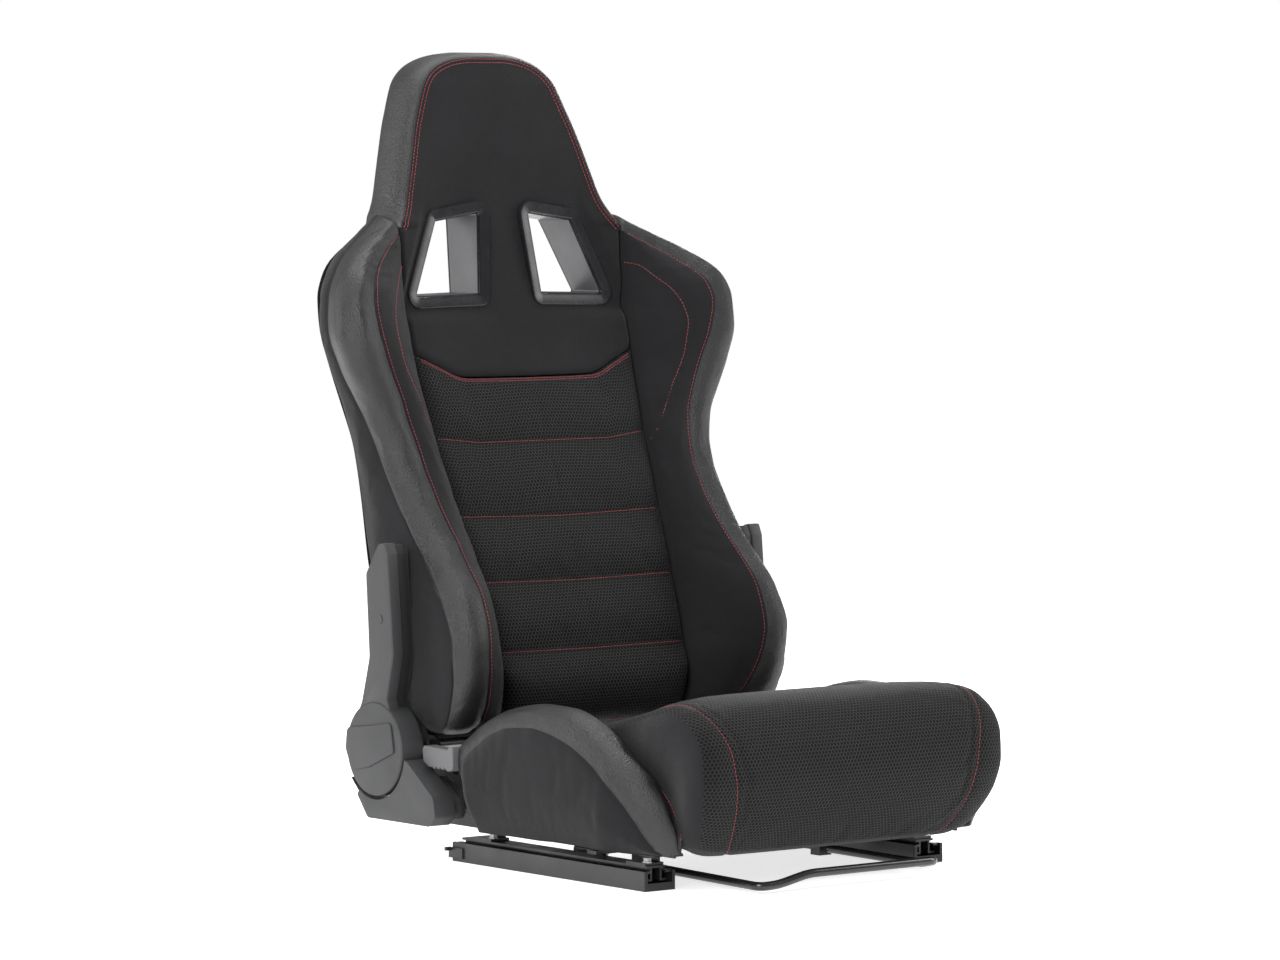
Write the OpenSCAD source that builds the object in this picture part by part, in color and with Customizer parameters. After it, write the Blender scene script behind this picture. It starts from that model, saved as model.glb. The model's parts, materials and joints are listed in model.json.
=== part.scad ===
// Reclining racing bucket seat on slide rails.
// X is the width, with +X on the occupant's left. The front is towards -Y and +Z is up.
// The origin is on the floor, in the middle of the four rail mounting holes.

/* [Slide rails] */
// Distance between the two rail centre lines
rail_pitch = 392; // [388:1:394]
// Length of each rail
rail_len = 349; // [340:1:356]
// Outer width of the lower rail
rail_w = 42; // [42:1:44]
// Height of the lower rail
rail_h = 22; // [22:1:23]
// Diameter of a mounting hole in the rail floor
mount_hole_d = 8.5; // [6.5:0.1:10.5]
// Distance between the front and rear mounting holes
mount_hole_pitch = 300; // [280:1:310]

/* [Release bar] */
// Half the width of the towel bar between its leg centres
bar_half_w = 131; // [128:1:134]
// Diameter of the towel bar
bar_d = 10; // [8:0.5:11]
// How far the bar's front grip stands in front of the origin
bar_front = 272; // [268:1:276]

/* [Recliner] */
// Distance of the recline axis behind the origin
hinge_y = 244; // [242:1:246]
// Height of the recline axis
hinge_z = 127; // [126:1:128]
// Radius of the round recliner cover
disc_r = 54; // [53:1:55]
// Outer face of the covers, from the middle plane
cover_x = 280; // [278:1:282]

/* [Backrest] */
// Lean of the lower back, in degrees from upright
back_lean = 21.4; // [21:0.1:22]
// Half the width of the centre panel at its foot
panel_half_foot = 134; // [130:1:136]
// Half the width of the centre panel at its top
panel_half_top = 162; // [158:1:163]
// Height of the top of the head rest
head_top = 928; // [924:1:932]
// Thickness of the padding in front of the back frame
pad_t = 30; // [28:1:31]

/* [Cushion] */
// Half the width of the centre cushion
cushion_half = 202; // [198:1:202]
// Height of the crest of the thigh roll
crest_z = 211; // [206:1:214]
// Inner and outer faces of a side bolster, from the middle plane
bolster_in = 208; // [208:1:212]
bolster_out = 262; // [256:1:264]

/* [Hidden] */
$fn = 48;

rail_x = rail_pitch / 2;
rail_wall = 2.5;
rail_slot = 20;             // opening between the lips of the lower rail
flange_z = 10;              // underside of the upper rail's flanges
flange_half = 16;
rail_top = 27;              // top of the upper rail
ball_z = (flange_z + rail_h) / 2 + 1.25;
ball_x = 14;
cage_len = 220;
foot_front_y = -150;
foot_rear_y = 132;
foot_len = 34;
foot_top = 40;

plate_t = 3;
seat_plate_x = 203.5;       // inner face of the seat side plates
recliner_x = 231;           // inner face of the fixed recliner plates
gear_x = 235.2;
lever_x = 241.3;
arm_x = 245.3;              // inner face of the steel arms that carry the back
arm_t = 4;
pin_r = 6;

bend_z = 640;               // height where the back turns more upright
foot_y = 195;               // front face of the back at the height below
foot_z = 232;
frame_gap = 20;             // space for the frame between padding and rear panel
panel_t = 9;

// ---------- shared shapes ----------

// Closed skin through rings that all have the same number of points, each ring
// counter-clockwise seen from above and the rings in rising order
module loft(rings) {
    n = len(rings[0]);
    m = len(rings);
    polyhedron(
        points = [for (r = rings) for (p = r) p],
        faces = concat(
            [[for (i = [0 : n - 1]) i]],
            [for (k = [0 : m - 2]) for (i = [0 : n - 1])
                [k * n + i, (k + 1) * n + i, (k + 1) * n + (i + 1) % n, k * n + (i + 1) % n]],
            [[for (i = [n - 1 : -1 : 0]) (m - 1) * n + i]]),
        convexity = 8);
}

// Mirrors a left-hand part (+X) to the right-hand side
module right_hand() { mirror([1, 0, 0]) children(); }

// Lays an outline drawn in (Y, Z) so that it runs from x to x + t
module slab(x, t) {
    translate([x, 0, 0]) rotate([90, 0, 90]) linear_extrude(t) children();
}

// Round bar along X between two places
module bar_x(x0, x1, y, z, r) {
    translate([x0, y, z]) rotate([0, 90, 0]) cylinder(h = x1 - x0, r = r);
}

function unit(v) = v / norm(v);
function heading(p, i) = unit(p[min(i + 1, len(p) - 1)] - p[max(i - 1, 0)]);

// Points of a corner rounded off over a length r on each side
function bend(p, i, r) = let (u = unit(p[i - 1] - p[i]), v = unit(p[i + 1] - p[i]))
    [for (t = [0 : 0.25 : 1]) p[i] + u * r * pow(1 - t, 2) + v * r * pow(t, 2)];

// Bent round tube through a list of points, with its corners rounded over bend_r;
// side is a direction that the tube never runs along
module tube(points, r, bend_r, side) {
    n = len(points);
    path = [points[0], for (i = [1 : n - 2]) each bend(points, i, bend_r), points[n - 1]];
    loft([for (i = [0 : len(path) - 1])
        let (t = heading(path, i), a = unit(cross(t, side)), b = cross(t, a))
        [for (k = [0 : 15]) path[i] + r * (cos(k * 22.5) * a + sin(k * 22.5) * b)]]);
}

// ---------- surfaces of the back ----------

// Front face of the centre of the back, as a Y value at a height
function back_front(z) = z < 200
    ? foot_y - (foot_z - 200) * tan(back_lean) + (200 - z) * 0.35
    : z < bend_z
        ? foot_y + (z - foot_z) * tan(back_lean)
        : foot_y + (bend_z - foot_z) * tan(back_lean) + (z - bend_z) * 0.18;
// Outer face of the rear panel
function back_rear(z) = lookup(z, [[147, 283], [330, 333], [600, 401], [700, 420], [928, 466]]);
// Rear of the padding, where the frame space starts
function pad_rear(z) = back_front(z) + pad_t;
// Half the width of the centre panel
function panel_half(z) = lookup(z, [[150, panel_half_foot], [574, panel_half_top]]);

// Front ridge of a wing, where the side leather starts, and its outer seam: [z, x, y]
function ridge_x(z) = lookup(z, [[163, 184], [200, 198], [263, 204], [372, 198], [462, 201],
    [511, 212], [573, 236], [620, 252], [650, 250], [675, 236], [715, 190]]);
function ridge_y(z) = lookup(z, [[163, 190], [190, 147], [213, 128], [250, 121], [296, 133],
    [372, 200], [417, 234], [462, 258], [520, 272], [573, 275], [640, 279], [675, 300], [715, 338]]);
function outer_x(z) = lookup(z, [[163, 232], [200, 239], [254, 240], [330, 236], [400, 233],
    [463, 238], [503, 250], [547, 270], [585, 285], [608, 289], [656, 277], [690, 245], [715, 212]]);
function outer_y(z) = lookup(z, [[163, 172], [190, 150], [231, 138], [254, 141], [292, 158],
    [371, 226], [429, 274], [463, 291], [530, 304], [608, 312], [640, 316], [675, 330], [715, 356]]);
// Rear outer corner of a wing
function corner_x(z) = lookup(z, [[163, 222], [330, 232], [463, 232], [547, 250], [608, 262],
    [656, 250], [715, 200]]);

// Half width of the head rest and shoulders' middle, at a height
function head_half(z) = lookup(z, [[574, 162], [725, 163], [745, 152], [780, 141], [820, 130],
    [856, 118], [890, 103], [910, 82], [922, 56], [head_top, 26]]);
// Front edge of the head rest at its sides
function head_side_y(z) = back_front(z) - lookup(z, [[574, 2], [744, 8], [820, 6], [928, 0]]);

// ---------- slide rails ----------

module rail_section() {
    w = rail_w / 2;
    s = rail_slot / 2;
    t = rail_wall;
    polygon([[-w, 0], [w, 0], [w, rail_h], [s, rail_h], [s, rail_h - t], [w - t, rail_h - t],
        [w - t, t], [-w + t, t], [-w + t, rail_h - t], [-s, rail_h - t], [-s, rail_h], [-w, rail_h]]);
}

module lower_rail() {
    color("#26272a") translate([rail_x, 0, 0]) difference() {
        translate([0, rail_len / 2, 0]) rotate([90, 0, 0]) linear_extrude(rail_len) rail_section();
        for (y = [-mount_hole_pitch / 2, mount_hole_pitch / 2])
            translate([0, y, -1]) cylinder(h = rail_wall + 2, d = mount_hole_d);
    }
}
module lower_rail_left() { lower_rail(); }
module lower_rail_right() { right_hand() lower_rail(); }

// Moulded end caps on the rail fronts and rears, open for the upper rail
module rail_end_caps() {
    color("#101012") for (s = [-1, 1], e = [-1, 1])
        translate([s * rail_x, e * (rail_len / 2 + 1.5), 0]) rotate([90, 0, 0])
            translate([0, 0, -1.5]) linear_extrude(3) difference() {
                translate([-rail_w / 2, 0]) square([rail_w, rail_h]);
                translate([-flange_half - 1.2, flange_z - 1.2])
                    square([2 * flange_half + 2.4, rail_h]);
            }
}

// Latch tabs bent up at the rear end of each rail
module rail_stop_tabs() {
    color("#3a3b3e") for (s = [-1, 1])
        translate([s * (rail_x + rail_w / 2 + 0.1), rail_len / 2 - 18, 4]) {
            translate([s > 0 ? 0 : -2, 0, 0]) cube([2, 26, 12]);
            translate([s > 0 ? 0 : -8, 22, 8]) cube([8, 4, 4]);
        }
}

module upper_rail() {
    h = flange_half;
    color("#1a1b1d") translate([rail_x, 170, 0]) rotate([90, 0, 0]) linear_extrude(340)
        polygon([[-13, rail_top], [13, rail_top], [13, 24.5], [8, 24.5], [8, 12.5], [h, 12.5],
            [h, flange_z], [5.5, flange_z], [5.5, 24.5], [-5.5, 24.5], [-5.5, flange_z],
            [-h, flange_z], [-h, 12.5], [-8, 12.5], [-8, 24.5], [-13, 24.5]]);
}
module upper_rail_left() { upper_rail(); }
module upper_rail_right() { right_hand() upper_rail(); }

// Where the balls sit along a cage
ball_rows = [for (i = [0 : 5]) -cage_len / 2 + 20 + i * (cage_len - 40) / 5];

module ball_cage() {
    color("#c9c4b4") translate([rail_x, 0, 0]) for (s = [-1, 1]) difference() {
        translate([s * ball_x - 3.2, -cage_len / 2, ball_z - 0.6]) cube([6.4, cage_len, 1.2]);
        for (y = ball_rows) translate([s * ball_x, y, ball_z - 2]) cylinder(h = 4, d = 5.4);
    }
}
module ball_cage_left() { ball_cage(); }
module ball_cage_right() { right_hand() ball_cage(); }

module rail_balls() {
    color("silver") translate([rail_x, 0, 0]) for (s = [-1, 1], y = ball_rows)
        translate([s * ball_x, y, ball_z]) cylinder(h = 4.2, d = 5.2, center = true);
}
module rail_balls_left() { rail_balls(); }
module rail_balls_right() { right_hand() rail_balls(); }

// ---------- feet and cushion frame ----------

// Channel foot between an upper rail and the cushion frame
module foot(y) {
    translate([rail_x, y, 0]) {
        translate([-13, -foot_len / 2, rail_top]) cube([26, foot_len, 3]);
        translate([-13, -foot_len / 2 + 6, rail_top + 3]) cube([3, foot_len - 12, foot_top - rail_top - 6]);
        translate([-13, -foot_len / 2 + 6, foot_top - 3]) cube([20, foot_len - 12, 3]);
    }
}
module front_feet() {
    color("#17181a") {
        foot(foot_front_y);
        right_hand() foot(foot_front_y);
    }
}
module rear_feet() {
    color("#17181a") {
        foot(foot_rear_y);
        right_hand() foot(foot_rear_y);
    }
}
// Hexagon head bolts that hold the feet to the rails
module foot_bolts() {
    color("silver") for (s = [-1, 1], y = [foot_front_y - 12, foot_rear_y - 12])
        translate([s * (rail_x + 6), y, rail_top + 3]) {
            cylinder(h = 1.4, d = 11.5);
            translate([0, 0, 1.4]) cylinder(h = 4.2, d = 9.6, $fn = 6);
        }
}

// Outline of the pressed side plate, in (Y, Z)
module seat_plate_outline() {
    polygon([[-215, foot_top], [206, foot_top], [230, 60], [hinge_y + 20, hinge_z - 20],
        [hinge_y + 20, hinge_z + 12], [hinge_y - 18, hinge_z + 12], [190, 98], [-190, 98], [-215, 82]]);
}
module seat_side_plate() {
    color("#202124") difference() {
        union() {
            slab(seat_plate_x, plate_t) seat_plate_outline();
            translate([seat_plate_x - 18, -205, foot_top]) cube([18, 398, plate_t]);
        }
        bar_x(seat_plate_x - 1, seat_plate_x + plate_t + 1, hinge_y, hinge_z, pin_r + 0.3);
        bar_x(seat_plate_x - 1, seat_plate_x + plate_t + 1, 168, 72, 12.5);
    }
}
module seat_side_plate_left() { seat_side_plate(); }
module seat_side_plate_right() { right_hand() seat_side_plate(); }

module seat_front_tube() {
    color("#202124") bar_x(-seat_plate_x, seat_plate_x, -196, 62, 11);
}
module seat_rear_tube() {
    color("#202124") bar_x(-recliner_x, recliner_x, 168, 72, 12.5);
}
// Flat outline of a zigzag wire that swings about a straight line from 0 to run
module zigzag(run, bends, swing, w) {
    path = [for (i = [0 : bends]) [i * run / bends, i == 0 || i == bends ? 0 : (i % 2 == 0 ? -swing : swing)]];
    polygon(concat([for (p = path) p - [0, w / 2]],
        [for (i = [bends : -1 : 0]) path[i] + [0, w / 2]]));
}
// Zigzag wires that carry the cushion, from the front tube to the rear tube
module seat_springs() {
    color("#8a8c90") for (x = [-120 : 60 : 120])
        translate([x, -184.5, 62]) rotate([1.2, 0, 90]) linear_extrude(3.6) zigzag(339.5, 8, 18, 5);
}

// Fixed half of the recliner, welded to the rear tube
module recliner_plate() {
    color("#2b2c2f") difference() {
        slab(recliner_x, arm_t) union() {
            translate([hinge_y, hinge_z]) circle(r = 42);
            polygon([[136, 56], [hinge_y - 4, 50], [hinge_y + 14, 62], [hinge_y + 38, hinge_z - 20],
                [hinge_y - 34, hinge_z - 24], [150, 92], [136, 84]]);
        }
        bar_x(recliner_x - 1, recliner_x + arm_t + 1, hinge_y, hinge_z, pin_r + 0.3);
    }
}
module recliner_plate_left() { recliner_plate(); }
module recliner_plate_right() { right_hand() recliner_plate(); }

// ---------- cushion ----------

// Outline of the centre cushion, in (Y, Z), with the thigh roll in front
module cushion_outline() {
    difference() {
        polygon([[-232, 44], [-258, 60], [-278, 90], [-286, 122], [-286, 150], [-276, 180], [-254, 201],
            [-222, crest_z], [-190, crest_z - 3], [-120, 192], [-20, 166], [90, 148], [180, 138],
            [206, 122], [206, 92], [140, 88], [-176, 78], [-176, 44]]);
        translate([-196, 62]) circle(r = 12);
    }
}
module seat_cushion() {
    color("#1b1c1e") difference() {
        slab(-cushion_half, 2 * cushion_half) cushion_outline();
        // room for the springs' front hooks
        translate([-150, -187, 59]) cube([300, 12, 9]);
        // the ends of the roll draw in towards the floor
        for (s = [-1, 1]) translate([s * (cushion_half + 40), -232, 30]) rotate([0, s * 12, 0])
            translate([-40, -70, -20]) cube([80, 52, 150]);
    }
}

// Outline of a side bolster, in (Y, Z): a half-moon
module bolster_outline() {
    polygon([[-206, 46], [-246, 48], [-252, 66], [-229, 99], [-196, 132], [-154, 163], [-111, 184],
        [-64, 195], [-13, 195], [41, 184], [86, 160], [112, 128], [114, 102], [88, 84], [84, 46]]);
}
module cushion_bolster() {
    color("#1d1e20") slab(bolster_in, bolster_out - bolster_in) bolster_outline();
}
module cushion_bolster_left() { cushion_bolster(); }
module cushion_bolster_right() { right_hand() cushion_bolster(); }

// ---------- recliner covers ----------

// Lower cover: a plate with an arc cut concentric with the disc, and a rim that runs inwards
module lower_cover_outline(inset) {
    difference() {
        offset(delta = -inset) polygon([[256, 47], [262, 52], [275, 64], [278, 100], [222, 127], [189, 124],
            [130, 79], [126, 62], [137, 48]]);
        translate([hinge_y, hinge_z]) circle(r = disc_r + 5);
    }
}
module lower_cover() {
    depth = 34;
    color("#57595c") difference() {
        slab(cover_x - depth, depth) lower_cover_outline(0);
        slab(cover_x - depth - 1, depth - 2.5) lower_cover_outline(3);
    }
}
module lower_cover_left() { lower_cover(); }
module lower_cover_right() { right_hand() lower_cover(); }

// Upper cover: a round box over the recliner with an arm that runs up over the steel arm
module arm_outline(inset) {
    offset(delta = -inset) polygon([[200, 140], [223, 183], [209, 236], [222, 365], [237, 365],
        [262, 327], [255, 221], [272, 180], [296, 140]]);
}
module disc_outline(inset) {
    translate([hinge_y, hinge_z]) circle(r = disc_r - inset, $fn = 96);
}
module upper_cover() {
    depth = cover_x - arm_x - arm_t - 0.7;
    color("#57595c") difference() {
        union() {
            slab(cover_x - depth, depth) disc_outline(0);
            slab(cover_x - depth, depth - 2) arm_outline(0);
        }
        slab(cover_x - depth - 1, depth - 2) disc_outline(3);
        slab(cover_x - depth - 1, depth - 4) arm_outline(3);
    }
}
module upper_cover_left() { upper_cover(); }
module upper_cover_right() { right_hand() upper_cover(); }

// Raised trim plate on the round cover
module recliner_cap() {
    color("#5c5e61") slab(cover_x, 3) intersection() {
        translate([hinge_y, hinge_z]) circle(r = disc_r - 4, $fn = 96);
        polygon([[206, 124], [206, 152], [211, 159], [250, 155], [310, 152], [310, 90], [244, 104]]);
    }
}
module recliner_cap_left() { recliner_cap(); }
module recliner_cap_right() { right_hand() recliner_cap(); }

// Screw plugs in the covers
module cover_screws() {
    color("#4a4c4f") for (s = [-1, 1]) {
        mirror([s < 0 ? 1 : 0, 0, 0]) bar_x(cover_x - 2, cover_x - 1.2, 234, 277, 5);
    }
}

// ---------- release bar and latches ----------

bar_pivot = [0, -78, 12];
module towel_bar() {
    h = bar_half_w;
    color("#0d0d0f") tube([[-h, bar_pivot.y, 12], [-h, -bar_front, 8.5], [-h + 26, -bar_front, 9],
        [-h + 70, -bar_front, 18], [h - 8, -bar_front, 18], [h, -bar_front + 34, 11],
        [h, bar_pivot.y, 12]], bar_d / 2, 9, [0, 0, 1]);
    // eyes that the bar turns on
    color("#0d0d0f") for (s = [-1, 1])
        bar_x(s * h - 6, s * h + 6, bar_pivot.y, bar_pivot.z, bar_d / 2 + 0.6);
}
// Pivot blocks that hang the bar's legs from the cushion frame
module bar_pivot_blocks() {
    color("#2f3033") for (s = [-1, 1]) {
        difference() {
            translate([s * bar_half_w - 9, bar_pivot.y + 6, 4]) cube([18, 16, 26]);
            bar_x(s * bar_half_w - 10, s * bar_half_w + 10, bar_pivot.y + 14, 17, 2);
        }
        translate([s > 0 ? bar_half_w - 9 : -seat_plate_x + 0.5, bar_pivot.y + 6, 30])
            cube([seat_plate_x - bar_half_w + 8.5, 16, 4]);
        translate([s > 0 ? seat_plate_x - 16 : -seat_plate_x + 8, bar_pivot.y + 6, 34])
            cube([8, 16, foot_top - 34]);
    }
}
// Toothed latch plates beside the rails
module latch_plate() {
    color("#6b6d70") translate([rail_x - rail_w / 2 - 6, 0, 0]) {
        translate([0, -50, 12]) cube([2.5, 60, 16]);
        for (y = [-42 : 14 : 2]) translate([2.5, y, 20]) cube([2.4, 6, 5]);
        // pin that the plate turns on
        translate([0, 10, 28]) rotate([90, 0, 0]) cylinder(h = 60, r = 2.2);
    }
}
module latch_plate_left() { latch_plate(); }
module latch_plate_right() { right_hand() latch_plate(); }

// ---------- recliner lever, on the occupant's right ----------

module recliner_lever() {
    color("#2b2c2f") difference() {
        union() {
            slab(-lever_x - plate_t, plate_t) union() {
                translate([hinge_y, hinge_z]) circle(r = 15);
                polygon([[hinge_y - 4, hinge_z - 12], [176, 113], [160, 115], [160, 127],
                    [178, 126], [hinge_y - 4, hinge_z + 8]]);
            }
            translate([-252, 160, 115]) cube([252 - lever_x, 12, 12]);
        }
        bar_x(-lever_x - plate_t - 1, -lever_x + 1, hinge_y, hinge_z, pin_r);
    }
}
module lever_grip() {
    color("#6e7073") difference() {
        hull() for (y = [118, 168], z = [114, 134], x = [-264, -248])
            translate([x, y, z]) sphere(r = 4, $fn = 16);
        translate([-252.2, 159.8, 114.8]) cube([12, 12.4, 12.4]);
    }
}
// Rod along the recline axis that works both recliners from the one lever
module recliner_cross_rod() {
    color("silver") bar_x(-lever_x - plate_t, lever_x - 0.3, hinge_y, hinge_z, pin_r);
}

// ---------- back frame ----------

module recliner_gear() {
    color("#8a8c90") difference() {
        bar_x(gear_x, arm_x, hinge_y, hinge_z, 36);
        bar_x(gear_x - 1, arm_x + 1, hinge_y, hinge_z, pin_r + 0.3);
        // room for the lever hub and its swing
        bar_x(lever_x - 0.4, arm_x + 1, hinge_y, hinge_z, 22);
        translate([lever_x - 0.4, hinge_y - 60, hinge_z - 60]) cube([8, 60, 100]);
        translate([lever_x - 0.4, hinge_y - 60, hinge_z - 60]) cube([8, 90, 60]);
    }
}
module recliner_gear_left() { recliner_gear(); }
module recliner_gear_right() { right_hand() recliner_gear(); }

module back_arm() {
    color("#1f2023") difference() {
        slab(arm_x, arm_t) union() {
            translate([hinge_y, hinge_z]) circle(r = 46);
            arm_outline(4);
        }
        bar_x(arm_x - 1, arm_x + arm_t + 1, hinge_y, hinge_z, pin_r + 0.3);
    }
}
module back_arm_left() { back_arm(); }
module back_arm_right() { right_hand() back_arm(); }

// Stays that join the steel arms to the uprights, above the recliners
stay_places = [[240, 212], [242, 312]];
upright_x = 176;
module arm_stays() {
    color("#2f3033") for (s = [0, 1]) mirror([s, 0, 0]) {
        for (p = stay_places) bar_x(upright_x + 12, arm_x, p[0], p[1], 8);
        for (p = stay_places)
            translate([upright_x + 9.3, min(p[0], frame_y(p[1])) - 4, p[1] - 14])
                cube([2.7, abs(p[0] - frame_y(p[1])) + 12, 28]);
    }
}

function frame_y(z) = pad_rear(z) + frame_gap / 2;
module back_upright() {
    color("#202124") tube([[upright_x, frame_y(190), 190], [upright_x, frame_y(bend_z), bend_z],
        [upright_x - 8, frame_y(700), 700], [92, frame_y(800), 800], [92, frame_y(868), 868]],
        9, 16, [0, 1, 0]);
}
module back_upright_left() { back_upright(); }
module back_upright_right() { right_hand() back_upright(); }
module back_lower_tube() {
    color("#202124") bar_x(-upright_x + 9, upright_x - 9, frame_y(205), 205, 9);
}
module back_top_tube() {
    color("#202124") bar_x(-83, 83, frame_y(850), 850, 9);
}
module back_springs() {
    color("#8a8c90") for (z = [280 : 70 : 560])
        translate([-upright_x + 9.5, frame_y(z), z]) rotate([90, 0, 0]) linear_extrude(3.6)
            zigzag(2 * upright_x - 19, 10, 12, 5);
}

// ---------- harness slots ----------

// Outline of a slot's bezel, in (X, Z), grown or shrunk by a margin
module slot_outline(grow) {
    r = 14 + grow;
    hull() for (p = [[21 + 14, 750 - 14], [101 - 5, 737 - 14], [146 - 21, 633 + 14], [32 + 14, 638 + 14]])
        translate(p) circle(r = r, $fn = 32);
}
// A slot's prism from y0 to y1
module slot_prism(grow, y0, y1) {
    translate([0, y1, 0]) rotate([90, 0, 0]) linear_extrude(y1 - y0) slot_outline(grow);
}
slot_rim = 10;
// Tilts a bezel with the padding's face, about the slot's middle
module slot_tilt(y) { translate([0, y, 692]) rotate([-10, 0, 0]) translate([0, -y, -692]) children(); }
slot_front = back_front(692) - 6;
slot_back = back_rear(692) + 2.2;

module harness_bezel() {
    color("#121317") difference() {
        slot_tilt(slot_front) slot_prism(0, slot_front - 5, slot_front);
        slot_prism(-slot_rim, 300, 480);
    }
}
module harness_bezel_left() { harness_bezel(); }
module harness_bezel_right() { right_hand() harness_bezel(); }

module harness_sleeve() {
    color("#4a4c50") difference() {
        slot_prism(-slot_rim + 2.6, slot_front - 30, slot_back + 30);
        slot_prism(-slot_rim, 300, 480);
        slot_tilt(slot_front) translate([0, slot_front - 80, 560]) cube([200, 80.1, 260]);
        slot_tilt(slot_back) translate([0, slot_back - 0.1, 560]) cube([200, 80, 260]);
    }
}
module harness_sleeve_left() { harness_sleeve(); }
module harness_sleeve_right() { right_hand() harness_sleeve(); }

module rear_bezel() {
    color("#121317") difference() {
        slot_tilt(slot_back) slot_prism(0, slot_back, slot_back + 4);
        slot_prism(-slot_rim, 300, 480);
    }
}
module rear_bezel_left() { rear_bezel(); }
module rear_bezel_right() { right_hand() rear_bezel(); }

// ---------- back upholstery ----------

pad_heights = [139, 150, 168, 200, 263, 330, 400, 470, 546];
// How far the foot of the pad curls back under the occupant
function pad_curl(z) = max(0, 162 - z) * 0.8;
module back_pad() {
    color("#18191b") loft([for (z = pad_heights) let (h = panel_half(z) - 0.5,
            f = back_front(z) + pad_curl(z), b = max(pad_rear(z), f + 14))
        [[-h, f, z], [-h * 0.5, f + 3, z], [h * 0.5, f + 3, z], [h, f, z], [h, b, z], [-h, b, z]]]);
}

wing_heights = [172, 200, 231, 263, 296, 340, 372, 417, 462, 511, 547, 573, 608, 640, 665, 690, 712];
// One ring of a wing: face beside the panel, ridge, outer seam, side, rear corner, frame step
function wing_ring(z) = let (m = panel_half(z) + 0.5, f = back_front(z), r = back_rear(z) - panel_t - 0.5,
        inner = min(ridge_x(z) - 4, m + 30), step = min(190, corner_x(z) - 18))
    [[m, f, z], [inner, f * 0.5 + ridge_y(z) * 0.5, z], [ridge_x(z), ridge_y(z), z],
     [outer_x(z) * 0.5 + ridge_x(z) * 0.5 + 4, outer_y(z) * 0.35 + ridge_y(z) * 0.65, z],
     [outer_x(z), outer_y(z), z], [outer_x(z), outer_y(z) + 24, z],
     [corner_x(z), r - 16, z], [corner_x(z) - 14, r, z], [step, r, z],
     [step, f + pad_t, z], [m, f + pad_t, z]];
module back_wing() {
    color("#1a1b1d") difference() {
        loft([for (z = wing_heights) wing_ring(z)]);
        for (p = stay_places) translate([100, p[0] - 9, p[1] - 15]) cube([160, 92, 30]);
    }
}
module back_wing_left() { back_wing(); }
module back_wing_right() { right_hand() back_wing(); }

head_heights = [548, 574, 640, 715, 725, 745, 780, 820, 856, 890, 910, 922, head_top];
// Outer ring of the head rest: crowned front, sides and rear
function head_ring(z) = let (h = (z < 574 ? panel_half(z) : head_half(z)) - 0.5, f = back_front(z), e = head_side_y(z),
        b = z < 735 ? pad_rear(z) : back_rear(z) - panel_t - 0.5)
    [[-h, e, z], [-h * 0.5, f, z], [h * 0.5, f, z], [h, e, z], [h, b, z], [-h, b, z]];
module head_pad() {
    color("#1b1c1e") difference() {
        loft([for (z = head_heights) head_ring(z)]);
        // space for the top of the frame
        hull() for (z = [690, 880]) translate([-106 + (z - 690) * 0.02, pad_rear(z), z])
            cube([212 - (z - 690) * 0.04, 60, 1]);
        for (s = [0, 1]) mirror([s, 0, 0]) {
            slot_prism(-slot_rim + 3, 300, 480);
            // the uprights bend in past the shoulders
            hull() {
                translate([upright_x - 26, pad_rear(690), 690]) cube([60, 60, 1]);
                translate([78, pad_rear(812), 812]) cube([30, 60, 1]);
            }
        }
    }
}

panel_heights = [147, 240, 330, 463, 547, 608, 656, 700, 725, 745, 780, 820, 856, 890, 910, 922];
// Half width of the rear panel: the wings' rear corners, then the head
function rear_half(z) = z < 716 ? lookup(z, [[163, 208], [330, 217], [463, 217], [547, 235], [608, 247],
    [656, 235], [716, 176]]) : head_half(z) - 6;
// Thickness of the rear panel, which thins where the uprights pass close in front
function rear_t(z) = lookup(z, [[547, panel_t - 0.5], [608, 4.5], [656, 4.1], [700, 4.6], [745, 5.6],
    [780, 6.2], [856, 7.9], [890, panel_t]]);
module rear_panel() {
    color("#1c1d1f") difference() {
        loft([for (z = panel_heights) let (h = rear_half(z), b = back_rear(z), f = b - rear_t(z))
            [[-h, f, z], [h, f, z], [h, b - 3, z], [h - 6, b, z], [-h + 6, b, z], [-h, b - 3, z]]]);
        for (s = [0, 1]) mirror([s, 0, 0]) slot_prism(-slot_rim + 3, 300, 480);
    }
}

lower_rail_left();
lower_rail_right();
rail_end_caps();
rail_stop_tabs();
upper_rail_left();
upper_rail_right();
ball_cage_left();
ball_cage_right();
rail_balls_left();
rail_balls_right();
front_feet();
rear_feet();
foot_bolts();
seat_side_plate_left();
seat_side_plate_right();
seat_front_tube();
seat_rear_tube();
seat_springs();
recliner_plate_left();
recliner_plate_right();
seat_cushion();
cushion_bolster_left();
cushion_bolster_right();
lower_cover_left();
lower_cover_right();
towel_bar();
bar_pivot_blocks();
latch_plate_left();
latch_plate_right();
recliner_lever();
lever_grip();
recliner_cross_rod();
recliner_gear_left();
recliner_gear_right();
back_arm_left();
back_arm_right();
arm_stays();
back_upright_left();
back_upright_right();
back_lower_tube();
back_top_tube();
back_springs();
back_pad();
back_wing_left();
back_wing_right();
head_pad();
rear_panel();
harness_bezel_left();
harness_bezel_right();
harness_sleeve_left();
harness_sleeve_right();
rear_bezel_left();
rear_bezel_right();
upper_cover_left();
upper_cover_right();
recliner_cap_left();
recliner_cap_right();
cover_screws();
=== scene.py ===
import json
import math

import bpy
import numpy as np
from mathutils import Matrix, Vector
from mathutils.kdtree import KDTree


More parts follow.
